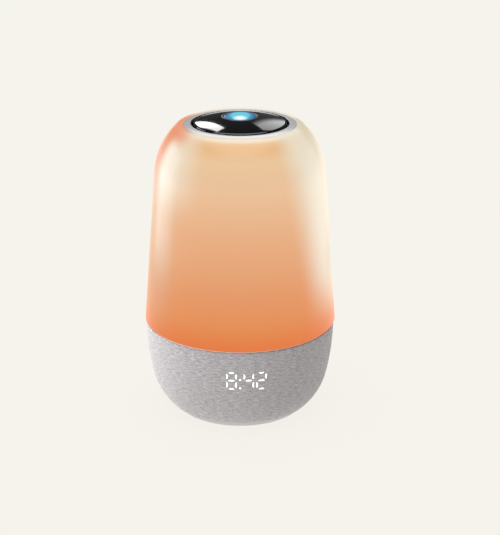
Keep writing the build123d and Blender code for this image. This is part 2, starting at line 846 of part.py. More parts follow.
seat_r = bowl_r - soft_gap
led_posts = ring_spots(led_post_pitch, top_count)
column_spots = ring_spots(column_screw_pitch, top_count, quarter_step)
shade_lug_r = deck_r + soft_gap
shade_inside_r = shade_r - (deck_wall_top_z - shade_low_z) * math.tan(draft) - shade_wall / math.cos(draft)
shade_clear_r = shade_inside_r * math.cos(math.pi / shade_flats) - soft_gap
ledge_reach_r = math.sqrt(shade_clear_r**2 - (lug_w / 2) ** 2)
lamp_slot_x = board_half + cable_bend

with BuildPart() as deck:
    prism(deck_r, deck_z, deck_wall_top_z, sides=bowl_flats)
    prism(deck_r - deck_wall, deck_top_z, deck_wall_top_z, Mode.SUBTRACT, bowl_flats)
    with BuildSketch(Plane.XY.offset(bowl_top_z)) as seat:
        RegularPolygon(seat_r, skin_sides)
        RegularPolygon(deck_r - deck_wall, bowl_flats, mode=Mode.SUBTRACT)
    extrude(seat.sketch, amount=seam)
    spokes(deck_r - deck_wall / 2, ledge_reach_r, lug_w, lug_low_z + lug_t + fit_gap,
           deck_wall_top_z, corner_count, corner_turn)
    posts(led_posts, post_r, deck_top_z, led_board_z)
    prism(wire_hole_r, deck_z, deck_top_z, Mode.SUBTRACT)
    blocks([(lamp_slot_x, plug_spots["lamp"][1])], 4 * cable_t, cable_w + 2 * soft_gap,
           deck_z, deck_top_z, Mode.SUBTRACT)
    screw_holes(deck_spots, deck_z, deck_top_z)
    screw_holes(column_spots, deck_z, deck_top_z, press_gap)
    screw_holes(led_posts, deck_z, led_board_z, press_gap)
save(deck, "deck")

with BuildPart() as deck_screws:
    screws(upright(deck_spots, deck_top_z), screw_l)
save(deck_screws, "deck_screws")

with BuildPart() as led_board:
    flat_ring(led_board_r, led_hole_r, led_board_z, led_z, can_sides)
    screw_holes(led_posts, led_board_z, led_z)
save(led_board, "led_board")

with BuildPart() as leds:
    spokes(led_pitch_r - led_w / 2, led_pitch_r + led_w / 2, led_w, led_z, led_z + led_h,
           led_count, 180 / led_count)
save(leds, "leds")

# ---------------------------------------------------------------- column and shade

column_top_flange_z = carrier_z - column_flange_t
column_low_flange_z = deck_top_z + column_flange_t

with BuildPart() as column:
    prism(column_flange_r, deck_top_z, column_low_flange_z)
    prism(column_r, column_low_flange_z, column_top_flange_z)
    prism(column_flange_r, column_top_flange_z, carrier_z)
    prism(column_r - column_wall, deck_top_z, carrier_z, Mode.SUBTRACT)
    screw_holes(column_spots, deck_top_z, column_low_flange_z)
    screw_holes(column_spots, column_top_flange_z, carrier_z, press_gap)
save(column, "column")

with BuildPart() as column_screws:
    screws(upright(column_spots, column_low_flange_z), small_screw_l)
    screws(upright(column_spots, carrier_top_z), small_screw_l)
save(column_screws, "column_screws")

with BuildPart() as lamp_shade:
    turned(shade_outline(0, shoulder_steps, lip_steps), skin_sides)
    turned(shade_outline(shade_wall, shade_inner_steps, 1), shade_flats, Mode.SUBTRACT)
    prism(hook_reach + soft_gap, shade_under_z, shade_top_z, Mode.SUBTRACT, shade_flats)
    prism(ring_r + fit_gap, ring_seat_z, shade_top_z, Mode.SUBTRACT, shade_flats)
    spokes(shade_lug_r, shade_r - shade_wall / 2, lug_w, lug_low_z, lug_low_z + lug_t,
           corner_count, corner_turn)
save(lamp_shade, "lamp_shade")

# ---------------------------------------------------------------- silver ring and carrier

top_posts = ring_spots(top_screw_pitch, top_count)
ledge_z = shade_top_z - ledge_drop - ledge_t

with BuildPart() as silver_ring:
    turned([(ring_r, ring_seat_z), (ring_r, shade_top_z - ring_slope),
            (ring_hole_r, shade_top_z + ring_slope)], shade_flats)
    prism(ring_hole_r, ring_seat_z, shade_top_z + ring_slope, Mode.SUBTRACT, shade_flats)
    barb_z = carrier_flange_z - fit_gap
    spokes(hook_r, hook_r + hook_t, hook_w, barb_z - hook_barb_h, ring_seat_z, corner_count, corner_turn)
    spokes(hook_r, hook_r + hook_t + hook_barb, hook_w, barb_z - hook_barb_h, barb_z,
           corner_count, corner_turn)
save(silver_ring, "silver_ring")

with BuildPart() as top_carrier:
    prism(carrier_r, carrier_z, shade_under_z, sides=shade_flats)
    prism(carrier_flange_r, carrier_flange_z, shade_under_z, sides=shade_flats)
    prism(ring_hole_r - fit_gap, shade_under_z, shade_top_z - carrier_lip_drop, sides=shade_flats)
    prism(carrier_bore_r, carrier_top_z, ledge_z, Mode.SUBTRACT, shade_flats)
    prism(carrier_bore_r - ledge_w, ledge_z, ledge_z + ledge_t, Mode.SUBTRACT, shade_flats)
    prism(carrier_bore_r, ledge_z + ledge_t, shade_top_z, Mode.SUBTRACT, shade_flats)
    spokes(hook_r - fit_gap, hook_r + hook_t + fit_gap, hook_w + 2 * soft_gap, carrier_flange_z,
           shade_under_z, corner_count, corner_turn, Mode.SUBTRACT)
    posts(top_posts, post_r, carrier_top_z, top_board_z)
    prism(wire_hole_r, carrier_z, carrier_top_z, Mode.SUBTRACT)
    screw_holes(column_spots, carrier_z, carrier_top_z)
    screw_holes(top_posts, carrier_z, top_board_z, press_gap)
save(top_carrier, "top_carrier")

# ---------------------------------------------------------------- board under the dome

switch_spots = ring_spots(pusher_pitch, top_count, half_step)
pad_spots = ring_spots(pad_pitch, top_count, quarter_step)
dome_switch_top_z = top_board_top_z + switch_h + plunger_h

with BuildPart() as top_board:
    prism(top_board_r, top_board_z, top_board_top_z, sides=top_board_sides)
    screw_holes(top_posts, top_board_z, top_board_top_z)
save(top_board, "top_board")

with BuildPart() as dome_switches:
    spokes(pusher_pitch - switch_w / 2, pusher_pitch + switch_w / 2, switch_w,
           top_board_top_z, top_board_top_z + switch_h, top_count, half_step)
    posts(switch_spots, plunger_r, top_board_top_z + switch_h, dome_switch_top_z)
save(dome_switches, "dome_switches")

with BuildPart() as projector_led:
    blocks([(0, 0)], emitter_w, emitter_w, top_board_top_z, top_board_top_z + emitter_h)
save(projector_led, "projector_led")

with BuildPart() as projector_barrel:
    flat_ring(barrel_r, barrel_r - barrel_wall, top_board_top_z, top_board_top_z + barrel_h)
save(projector_barrel, "projector_barrel")

with BuildPart() as return_pads:
    posts(pad_spots, pad_r, top_board_top_z, top_board_top_z + pad_h)
save(return_pads, "return_pads")

# ---------------------------------------------------------------- domed key and its lens

lens_ring_top_z = dome_height(lens_ring_r) + lens_rise
lens_seat_z = lens_ring_top_z - lens_ring_h
hub_low_z = lens_seat_z - hub_t
hub_r = lens_ring_r + hub_wall
dome_low_z = dome_height(dome_r) - dome_skirt_h
dome_shoulder_z = dome_height(dome_r) - dome_edge
dome_lug_top_z = ledge_z - fit_gap

with BuildPart() as dome_key:
    rise_radii = [dome_r - dome_edge - (dome_r - dome_edge - lens_ring_r) * i / dome_steps
                  for i in range(dome_steps + 1)]
    crown = [(r, dome_height(r)) for r in rise_radii]
    turned([(dome_r, dome_low_z), (dome_r, dome_shoulder_z)] + crown, shade_flats)
    cavity_r = dome_r - dome_skirt_wall
    roof_z = crown[-1][1] - dome_t
    turned([(cavity_r, dome_low_z), (cavity_r, dome_height(dome_r) - dome_t), (lens_ring_r, roof_z)],
           mode=Mode.SUBTRACT)
    prism(hub_r, hub_low_z, lens_seat_z)
    posts(switch_spots, pusher_r, dome_switch_top_z + dome_travel + fit_gap, lens_seat_z)
    posts(pad_spots, pad_boss_r, top_board_top_z + pad_h + soft_gap, dome_height(pad_pitch) - dome_t / 2)
    prism(lens_ring_r + press_gap, lens_seat_z, dome_apex_z, Mode.SUBTRACT, shade_flats)
    prism(barrel_r, dome_low_z, dome_apex_z, Mode.SUBTRACT)
    spokes(cavity_r + dome_skirt_wall / 2, dome_r + dome_lug_reach, dome_lug_w,
           dome_lug_top_z - dome_lug_t, dome_lug_top_z, top_count, half_step)
save(dome_key, "dome_key")

with BuildPart() as lens_ring:
    flat_ring(lens_ring_r, lens_r, lens_seat_z, lens_ring_top_z, shade_flats)
save(lens_ring, "lens_ring")

with BuildPart() as dome_lens:
    lens_out_r = lens_r - press_gap
    lens_edge_z = lens_ring_top_z - lens_recess
    lens_mid_z = (lens_edge_z + 2 * dome_apex_z) / 3
    turned([(lens_out_r, lens_seat_z), (lens_out_r, lens_edge_z), (lens_mid_r, lens_mid_z),
            (lens_flat_r, dome_apex_z)], shade_flats)
save(dome_lens, "dome_lens")

# ---------------------------------------------------------------- screws of the boards

with BuildPart() as board_screws:
    screws(upright(board_spots, board_top_z), screw_l)
    screws(upright(led_posts, led_z), small_screw_l)
    screws(upright(top_posts, top_board_top_z), small_screw_l)
    screws(facing(mask_ears, display_board_y + board_t, 1), small_screw_l)
    screws(facing(panel_posts, key_board_y - board_t, -1), small_screw_l)
save(board_screws, "board_screws")

# ---------------------------------------------------------------- flat cables

plug_z = board_top_z + plug_h / 2
plug_face = plug_reach + plug_d / 2
lamp_y = plug_spots["lamp"][1]
speaker_y = plug_spots["speaker"][1]
keys_x = plug_spots["keys"][0]
cable_y = display_board_y + board_t



def between(start, end, share):
    """Value a share of the way from start to end."""
    return start + (end - start) * share


key_back_y = key_board_y - board_t
socket_back_y = socket_seat_y - socket_barrel_l
display_plug_z = display_z + cable_run
key_plug_z = panel_z + cable_run / 2
outside_x = board_half + cable_run / 2
lead_start_x = speaker_back_r - speaker_wall

with BuildPart() as display_cable:
    flat_cable(Plane.YZ, [(cable_y, display_plug_z), (between(cable_y, -plug_face, 1 / 3), display_plug_z),
                          (between(cable_y, -plug_face, 2 / 3), plug_z), (-plug_face, plug_z)], cable_w)
save(display_cable, "display_cable")

with BuildPart() as key_cable:
    flat_cable(Plane.YZ.offset(keys_x),
               [(key_back_y, key_plug_z), (between(key_back_y, plug_face, 1 / 3), key_plug_z),
                (between(key_back_y, plug_face, 2 / 3), plug_z), (plug_face, plug_z)], cable_w)
save(key_cable, "key_cable")

with BuildPart() as led_cable:
    flat_cable(Plane.XZ.offset(-lamp_y), [(lamp_slot_x, led_board_z), (lamp_slot_x, plug_z),
                                          (plug_face, plug_z)], cable_w)
save(led_cable, "led_cable")

with BuildPart() as top_cable:
    flat_cable(Plane.XZ, [(0, top_board_z), (0, plug_z + cable_run / 2), (-cable_run, plug_z),
                          (-plug_face + plug_d, plug_z)], cable_w)
save(top_cable, "top_cable")

with BuildPart() as speaker_leads:
    flat_cable(Plane.XZ.offset(-speaker_y),
               [(lead_start_x, speaker_back_z + speaker_plate_t / 2), (outside_x, magnet_z + cable_bend),
                (outside_x, plug_z), (plug_face, plug_z)], lead_w)
save(speaker_leads, "speaker_leads")

with BuildPart() as socket_leads:
    lead_y = between(socket_back_y, plug_face, 1 / 2)
    flat_cable(Plane.YZ, [(socket_back_y, socket_z), (lead_y, socket_z), (lead_y, plug_z),
                          (plug_face, plug_z)], lead_w)
save(socket_leads, "socket_leads")
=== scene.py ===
import math

import bmesh
import bpy
from mathutils import Matrix, Vector


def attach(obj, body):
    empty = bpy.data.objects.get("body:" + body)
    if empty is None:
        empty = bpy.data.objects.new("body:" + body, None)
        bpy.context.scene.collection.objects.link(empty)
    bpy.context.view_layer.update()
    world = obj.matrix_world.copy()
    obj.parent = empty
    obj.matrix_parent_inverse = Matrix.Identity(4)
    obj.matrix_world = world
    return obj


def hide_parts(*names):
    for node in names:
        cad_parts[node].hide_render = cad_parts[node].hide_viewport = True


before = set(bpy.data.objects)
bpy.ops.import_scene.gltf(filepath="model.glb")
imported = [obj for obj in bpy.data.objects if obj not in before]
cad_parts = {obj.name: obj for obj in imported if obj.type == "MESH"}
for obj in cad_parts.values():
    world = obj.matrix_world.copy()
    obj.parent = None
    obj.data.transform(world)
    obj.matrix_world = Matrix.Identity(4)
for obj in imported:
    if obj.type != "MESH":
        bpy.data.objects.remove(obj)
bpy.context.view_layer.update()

MM = 0.001

# ---------------------------------------------------------------- camera

ELEVATION = math.radians(20.24)
DISTANCE = 0.9028
TARGET_Z = 0.090

camera_data = bpy.data.cameras.new("camera")
camera_data.sensor_fit = "AUTO"
camera_data.sensor_width = 36.0
camera_data.lens = 101.80
camera_data.shift_x = 0.01847
camera_data.shift_y = -0.01049
camera_data.clip_start = 0.01
camera_data.clip_end = 20.0
camera = bpy.data.objects.new("camera", camera_data)
camera.location = (0, -DISTANCE * math.cos(ELEVATION), TARGET_Z + DISTANCE * math.sin(ELEVATION))
camera.rotation_euler = (math.pi / 2 - ELEVATION, 0, 0)
bpy.context.scene.collection.objects.link(camera)
bpy.context.scene.camera = camera
bpy.context.scene.view_settings.view_transform = "Standard"

# ---------------------------------------------------------------- outlines shared with the solids, in mm

BOWL_R, BOWL_TOP, BOWL_LOW = 56.3, 55.0, 5.4
UPPER_ARC, LOWER_ARC, UPPER_TURN = 150.0, 36.6, math.radians(12.6)
UPPER_C = BOWL_R - UPPER_ARC
LOWER_C = (UPPER_C + (UPPER_ARC - LOWER_ARC) * math.cos(UPPER_TURN),
           BOWL_TOP - (UPPER_ARC - LOWER_ARC) * math.sin(UPPER_TURN))
FABRIC_T = 0.8
FOOT_R, FOOT_T, FOOT_PITCH = 4.2, 2.0, 30.783
SHADE_R, SHADE_LOW, SHADE_WALL = 57.0, 55.9, 2.0
DRAFT, DRAFT_TOP = math.radians(4.33), 146.8
SHOULDER_ARC, SHOULDER_TURN, LIP_ARC = 42.1, math.radians(42.4), 4.25
SHOULDER_END = DRAFT + SHOULDER_TURN
DRAFT_TOP_R = SHADE_R - (DRAFT_TOP - SHADE_LOW) * math.tan(DRAFT)
SHOULDER_C = (DRAFT_TOP_R - SHOULDER_ARC * math.cos(DRAFT), DRAFT_TOP - SHOULDER_ARC * math.sin(DRAFT))
LIP_C = (SHOULDER_C[0] + (SHOULDER_ARC - LIP_ARC) * math.cos(SHOULDER_END),
         SHOULDER_C[1] + (SHOULDER_ARC - LIP_ARC) * math.sin(SHOULDER_END))
SHADE_TOP = LIP_C[1] + LIP_ARC
RING_R, RING_HOLE, RING_T = 33.0, 28.6, 1.3
RING_SEAT = SHADE_TOP - RING_T
DOME_R, DOME_ARC, DOME_APEX = 27.0, 87.5, SHADE_TOP + 4.75
LENS_RING_R, LENS_R = 10.8, 9.5
DISPLAY_Z = 37.3
PANEL_W, PANEL_H, PANEL_Z, PANEL_LIP = 52.0, 12.0, 40.0, 1.5
SOCKET_Z, BEZEL_R, BEZEL_TUBE_R, BEZEL_BORE_R = 23.0, 9.2, 8.0, 6.8
CUT_Y = (30, 70)


def bowl_radius(z, inset=0.0):
    """Radius of the bowl's outline at height z, moved in by inset."""
    join = BOWL_TOP - (UPPER_ARC - inset) * math.sin(UPPER_TURN)
    if z >= join:
        return UPPER_C + math.sqrt((UPPER_ARC - inset) ** 2 - (BOWL_TOP - z) ** 2)
    return LOWER_C[0] + math.sqrt((LOWER_ARC - inset) ** 2 - (LOWER_C[1] - z) ** 2)


def dome_height(r):
    """Height of the domed key's face at radius r."""
    return DOME_APEX - DOME_ARC + math.sqrt(DOME_ARC ** 2 - r ** 2)


def evenly(start, end, steps):
    """Evenly spaced values from start to end, one more than there are steps."""
    return [start + (end - start) * i / steps for i in range(steps + 1)]


def arc(centre, radius, start, end, steps):
    """Points on an arc about a centre, angles from the first axis."""
    return [(centre[0] + radius * math.cos(a), centre[1] + radius * math.sin(a))
            for a in evenly(start, end, steps)]


def circle(r, x, z, steps=48):
    """Points round a circle about (x, z), the first of them once."""
    return arc((x, z), r, 0, math.tau, steps)[:-1]


def pill(grow, runs=1, steps=16):
    """The rear panel's (x, z) outline, grown all round.

    Each round end has so many steps, and each straight side so many runs.
    """
    r = PANEL_H / 2 + grow
    reach = (PANEL_W - PANEL_H) / 2
    points = []
    for way in (1, -1):
        points += arc((way * reach, PANEL_Z), r, -way * math.pi / 2, math.pi - way * math.pi / 2, steps)
        points += [(x, PANEL_Z + way * r) for x in evenly(way * reach, -way * reach, runs)[1:-1]]
    return points


# ---------------------------------------------------------------- mesh helpers

def link(name, mesh, body=None):
    """An object of a mesh, which rides on a body if one is named."""
    obj = bpy.data.objects.new(name, mesh)
    bpy.context.scene.collection.objects.link(obj)
    if body:
        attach(obj, body)
    return obj


def smooth(mesh, angle=40.0):
    """Smooth shading that stays sharp where faces meet at more than an angle in degrees."""
    for face in mesh.polygons:
        face.use_smooth = True
    mesh.set_sharp_from_angle(angle=math.radians(angle))


def plain_mesh(name, points, faces):
    """A mesh through points in metres."""
    mesh = bpy.data.meshes.new(name)
    mesh.from_pydata(points, [], faces)
    return mesh


def closed_mesh(name, points, faces):
    """A mesh through points in metres, with its normals turned outwards."""
    mesh = plain_mesh(name, points, faces)
    bm = bmesh.new()
    bm.from_mesh(mesh)
    bmesh.ops.recalc_face_normals(bm, faces=bm.faces)
    bm.to_mesh(mesh)
    bm.free()
    return mesh


def lathe(name, profile, body, closed=False, segments=192, angle=40.0):
    """A mesh turned about Z from (r, z) points in mm. A closed profile makes a ring."""
    verts, rows = [], []
    for r, z in profile:
        if r < 1e-6:
            rows.append([len(verts)] * segments)
            verts.append((0, 0, z * MM))
        else:
            rows.append(list(range(len(verts), len(verts) + segments)))
            verts += [(x, y, z * MM) for x, y in circle(r * MM, 0, 0, segments)]
    faces = []
    pairs = list(zip(rows, rows[1:])) + ([(rows[-1], rows[0])] if closed else [])
    for low, high in pairs:
        for i in range(segments):
            j = (i + 1) % segments
            quad = [low[i], low[j], high[j], high[i]]
            face = [v for k, v in enumerate(quad) if v != quad[k - 1]]
            if len(face) > 2:
                faces.append(face)
    mesh = closed_mesh(name, verts, faces)
    smooth(mesh, angle)
    return link(name, mesh, body)


def turned_y(name, profile, z):
    """A mesh turned about the line along Y at height z, from (r, y) points in mm."""
    piece = lathe(name, profile, "base", segments=64)
    piece.data.transform(Matrix.Translation((0, 0, z * MM)) @ Matrix.Rotation(-math.pi / 2, 4, "X"))
    return piece


def stacked(name, loops, body, start=None, angle=50.0):
    """A closed mesh through loops of as many points each, in mm.

    With a start, both ends are filled by strips across from the point of that number. Without, it is a ring.
    """
    count = len(loops[0])
    bm = bmesh.new()
    rows = [[bm.verts.new([c * MM for c in point]) for point in loop] for loop in loops]
    pairs = list(zip(rows, rows[1:])) + ([(rows[-1], rows[0])] if start is None else [])
    for low, high in pairs:
        for i in range(count):
            j = (i + 1) % count
            bm.faces.new([low[i], low[j], high[j], high[i]])
    for row in ([] if start is None else [rows[0], rows[-1]]):
        for k in range(count // 2):
            corners = [start + k, start + k + 1, start - k - 1, start - k]
            bm.faces.new([row[c] for c in dict.fromkeys(c % count for c in corners)])
    bmesh.ops.recalc_face_normals(bm, faces=bm.faces)
    mesh = bpy.data.meshes.new(name)
    bm.to_mesh(mesh)
    bm.free()
    smooth(mesh, angle)
    return link(name, mesh, body)


def prism_y(name, outline, y0, y1):
    """A prism along Y over a closed (x, z) outline in mm."""
    count = len(outline)
    verts = [(x * MM, y * MM, z * MM) for y in (y0, y1) for x, z in outline]
    faces = [[i, (i + 1) % count, count + (i + 1) % count, count + i] for i in range(count)]
    faces += [list(range(count)), list(range(count, 2 * count))]
    return link(name, closed_mesh(name, verts, faces))


def cut_with(obj, cutter):
    """Cut one mesh out of another and drop the cutter."""
    tool = obj.modifiers.new("cut", "BOOLEAN")
    tool.operation = "DIFFERENCE"
    tool.solver = "EXACT"
    tool.object = cutter
    bpy.context.view_layer.update()
    done = bpy.data.meshes.new_from_object(obj.evaluated_get(bpy.context.evaluated_depsgraph_get()))
    obj.modifiers.remove(tool)
    old = obj.data
    obj.data = done
    bpy.data.objects.remove(cutter)
    bpy.data.meshes.remove(old)


def cut_back(obj, outline):
    """Cut a hole through the back of a piece over an (x, z) outline."""
    cut_with(obj, prism_y("cutter", outline, *CUT_Y))


# ---------------------------------------------------------------- material helpers

def new_material(name, colour, rough, metal=0.0, coat=0.0, spec=0.5):
    """A principled material with even values, and its shader."""
    mat = bpy.data.materials.new(name)
    mat.use_nodes = True
    shader = mat.node_tree.nodes["Principled BSDF"]
    shader.inputs["Base Color"].default_value = (*colour, 1)
    shader.inputs["Roughness"].default_value = rough
    shader.inputs["Metallic"].default_value = metal
    shader.inputs["Coat Weight"].default_value = coat
    shader.inputs["Specular IOR Level"].default_value = spec
    return mat, shader


def node(mat, kind, **values):
    """A node whose named sockets or settings get the values."""
    item = mat.node_tree.nodes.new(kind)
    for key, value in values.items():
        if key in item.inputs.keys():
            item.inputs[key].default_value = value
        else:
            setattr(item, key, value)
    return item


def wire(mat, source, target):
    mat.node_tree.links.new(source, target)


def mapped(mat, vector, scale, location=(0, 0, 0)):
    """A vector times a scale, then moved to a location."""
    item = node(mat, "ShaderNodeMapping", Location=location, Scale=scale)
    wire(mat, vector, item.inputs["Vector"])
    return item.outputs["Vector"]


def coords(mat, scale=(1, 1, 1)):
    """Object coordinates in metres, times a scale."""
    return mapped(mat, node(mat, "ShaderNodeTexCoord").outputs["Object"], scale)


def axes_of(mat, vector):
    """Outputs X, Y and Z of a vector."""
    item = node(mat, "ShaderNodeSeparateXYZ")
    wire(mat, vector, item.inputs["Vector"])
    return item.outputs


def vector_step(mat, operation, vector):
    """An operation on one vector. LENGTH gives a number."""
    item = node(mat, "ShaderNodeVectorMath", operation=operation)
    wire(mat, vector, item.inputs[0])
    return item.outputs["Value" if operation == "LENGTH" else "Vector"]


def noise(mat, vector, scale, detail=3.0, rough=0.55):
    item = node(mat, "ShaderNodeTexNoise", Scale=scale, Detail=detail, Roughness=rough)
    wire(mat, vector, item.inputs["Vector"])
    return item.outputs["Fac"]


def ramp(mat, fac, stops):
    """Colour at a value, from (position, colour) stops."""
    item = node(mat, "ShaderNodeValToRGB")
    colours = item.color_ramp.elements
    while len(colours) > 1:
        colours.remove(colours[-1])
    colours[0].position = stops[0][0]
    colours[0].color = (*stops[0][1], 1)
    for position, colour in stops[1:]:
        colours.new(position).color = (*colour, 1)
    wire(mat, fac, item.inputs["Fac"])
    return item.outputs["Color"]


def remap(mat, value, low, high, to_low=0.0, to_high=1.0, kind="LINEAR"):
    """A value from low to high, mapped to to_low to to_high."""
    item = node(mat, "ShaderNodeMapRange", interpolation_type=kind)
    item.inputs["From Min"].default_value = low
    item.inputs["From Max"].default_value = high
    item.inputs["To Min"].default_value = to_low
    item.inputs["To Max"].default_value = to_high
    wire(mat, value, item.inputs["Value"])
    return item.outputs["Result"]


def masked(mat, value, low, high):
    """0 up to low and 1 from high on, smooth between. Low may also be the larger."""
    return remap(mat, value, low, high, kind="SMOOTHSTEP")


def calc(mat, operation, a, b):
    """A math operation on a socket and a second socket or number."""
    item = node(mat, "ShaderNodeMath", operation=operation)
    wire(mat, a, item.inputs[0])
    if isinstance(b, float):
        item.inputs[1].default_value = b
    else:
        wire(mat, b, item.inputs[1])
    return item.outputs[0]


def times(mat, a, b):
    return calc(mat, "MULTIPLY", a, b)


def add_up(mat, *terms):
    """Sum of (value, share) pairs."""
    shares = [times(mat, value, share) for value, share in terms]
    total = shares[0]
    for share in shares[1:]:
        total = calc(mat, "ADD", total, share)
    return total


def blend_in(mat, factor, under, colour):
    """A colour, fixed or from a socket, laid over under by a factor."""
    item = node(mat, "ShaderNodeMix", data_type="RGBA")
    wire(mat, factor, item.inputs["Factor"])
    wire(mat, under, item.inputs[6])
    if isinstance(colour, tuple):
        item.inputs[7].default_value = (*colour, 1)
    else:
        wire(mat, colour, item.inputs[7])
    return item.outputs[2]


def bump(mat, shader, height, strength, distance):
    item = node(mat, "ShaderNodeBump", Strength=strength, Distance=distance)
    wire(mat, height, item.inputs["Height"])
    wire(mat, item.outputs["Normal"], shader.inputs["Normal"])


def grained(name, colour, rough=0.5, metal=0.0, coat=0.0, spread=0.06, grain=900.0, relief=0.08,
            scale=(1, 1, 1)):
    """Moulded, painted or plain stock: grain in colour, roughness and relief."""
    mat, shader = new_material(name, colour, rough, metal, coat)
    place = coords(mat, scale)
    fine = noise(mat, place, grain)
    broad = noise(mat, place, 40.0, 2.0)
    dark = tuple(c * (1 - spread) for c in colour)
    light = tuple(min(1, c * (1 + spread)) for c in colour)
    wire(mat, ramp(mat, broad, [(0.3, dark), (0.7, light)]), shader.inputs["Base Color"])
    level = remap(mat, fine, 0, 1, max(0.02, rough - 0.05), min(1, rough + 0.05))
    wire(mat, level, shader.inputs["Roughness"])
    bump(mat, shader, fine, relief, 0.0002)
    return mat


def dress(name, mat):
    """Give a CAD node a material in each of its slots."""
    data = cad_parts[name].data
    if not data.materials:
        data.materials.append(mat)
    for i in range(len(data.materials)):
        data.materials[i] = mat


def finish_piece(obj, mat, slot, *nodes):
    """Give a piece its material and hide the CAD nodes that it replaces. The slot is not used."""
    obj.data.materials.clear()
    obj.data.materials.append(mat)
    if nodes:
        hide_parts(*nodes)


# ---------------------------------------------------------------- shade

# Colours up the shade, by height in mm
GLOW = [(56, (0.76, 0.155, 0.022)), (62, (0.76, 0.195, 0.038)), (72, (0.76, 0.25, 0.070)),
        (87, (0.76, 0.29, 0.11)), (105, (0.77, 0.36, 0.165)), (122, (0.79, 0.41, 0.21)),
        (139, (0.80, 0.48, 0.27)), (153, (0.82, 0.545, 0.33)), (164, (0.82, 0.57, 0.34)),
        (171.3, (0.77, 0.455, 0.20)), (173.2, (0.775, 0.49, 0.25)), (174.2, (0.80, 0.66, 0.46)),
        (175.4, (0.80, 0.72, 0.58))]


def shade_profile(inset, lip_low):
    """The shade's (r, z) outline from height lip_low to the top, moved in by inset."""
    points = arc(SHOULDER_C, SHOULDER_ARC - inset, DRAFT, SHOULDER_END, 28)
    points += arc(LIP_C, LIP_ARC - inset, SHOULDER_END, math.pi / 2, 10)[1:]
    low_r = SHADE_R - inset / math.cos(DRAFT) - (lip_low - SHADE_LOW) * math.tan(DRAFT)
    wall = list(zip(evenly(low_r, points[0][0], 12), evenly(lip_low, points[0][1], 12)))
    return wall[:-1] + points


def shade_material():
    """A glow that changes up the shade, with soft fields of other colours on its sides, among them painted
    highlights on the left and right and a painted shade at the right edge.
    """
    mat, shader = new_material("shade_glow", (0.85, 0.62, 0.45), 0.3)
    place = coords(mat)
    up = axes_of(mat, place)["Z"]
    low, high = GLOW[0][0], GLOW[-1][0]
    climb = remap(mat, up, low * MM, high * MM)

    def glow_ramp(*shares):
        """The colours up the shade, each channel by its share."""
        return ramp(mat, climb, [((z - low) / (high - low), tuple(c * s for c, s in zip(colour, shares)))
                                 for z, colour in GLOW])

    # -1 at the left of the shade, 1 at its right
    across = axes_of(mat, vector_step(mat, "NORMALIZE", mapped(mat, place, (1, 1, 0))))["X"]
    # Side value for the painted highlight on the right, which reaches lower towards the edge
    right_highlight_slant = add_up(mat, (across, 1.0), (up, 2.5))

    def field(height_band, side, side_band, share):
        """Where both values lie past their bands, times a share."""
        both = times(mat, masked(mat, up, *height_band), masked(mat, side, *side_band))
        return times(mat, both, share)

    # Less red in the glow at the upper left, painted so that the left highlight there reads white
    painted_highlight_less_red = field((0.040, 0.100), across, (-0.62, -0.90), 1.0)
    glow = blend_in(mat, painted_highlight_less_red, glow_ramp(1, 1, 1), glow_ramp(0.80, 0.93, 0.96))
    # Bands of height and of side over which each field comes in, its share and its colour: painted highlight
    # on the left, red left shoulder, red left lip, painted highlight on the right, painted shade on the right
    # edge
    fields = [
        # painted highlight: a cream field on the upper left
        ((0.126, 0.156), across, (-0.40, -0.78), 0.75, (0.85, 0.77, 0.62)),
        ((0.122, 0.160), across, (-0.86, -1.0), 0.90, (0.80, 0.24, 0.13)),
        ((0.166, 0.173), across, (-0.66, -0.92), 0.85, (0.80, 0.27, 0.14)),
        # painted highlight: a cream field on the right side
        ((0.056, 0.095), right_highlight_slant, (0.85, 1.20), 0.82, (0.81, 0.80, 0.67)),
        # painted shade: a dimmer cream along the right edge
        ((0.066, 0.100), across, (0.88, 1.0), 0.85, (0.62, 0.56, 0.41)),
    ]
    for height_band, side, side_band, share, colour in fields:
        glow = blend_in(mat, field(height_band, side, side_band, share), glow, colour)
    drift = noise(mat, place, 14.0, 1.5)
    glow = blend_in(mat, times(mat, drift, 0.10), glow, (0.80, 0.36, 0.20))
    wire(mat, glow, shader.inputs["Emission Color"])
    shader.inputs["Emission Strength"].default_value = 0.92
    wire(mat, glow_ramp(0.12, 0.12, 0.12), shader.inputs["Base Color"])
    bump(mat, shader, noise(mat, place, 1500.0, 2.0), 0.02, 0.0001)
    return mat


SHADE_RIM = 0.5
SEAT_HOLE_R, SEAT_GAP, SEAT_BEVEL = 31.7, 0.1, 0.25
seat_r = RING_R + SEAT_GAP
outer = arc((SHADE_R - SHADE_RIM, SHADE_LOW + SHADE_RIM), SHADE_RIM, -math.pi / 2, 0, 5)
outer += shade_profile(0, SHADE_LOW + SHADE_RIM)[1:]
outer += [(seat_r + SEAT_BEVEL, SHADE_TOP), (seat_r, SHADE_TOP - SEAT_BEVEL), (seat_r, RING_SEAT),
          (SEAT_HOLE_R, RING_SEAT), (SEAT_HOLE_R, SHADE_TOP - SHADE_WALL)]
inner = shade_profile(SHADE_WALL, SHADE_LOW)[::-1]
shade = lathe("shade_shell", outer + inner, "base", closed=True, segments=256)
finish_piece(shade, shade_material(), "shade_cream", "lamp_shade")

# ---------------------------------------------------------------- fabric sleeve


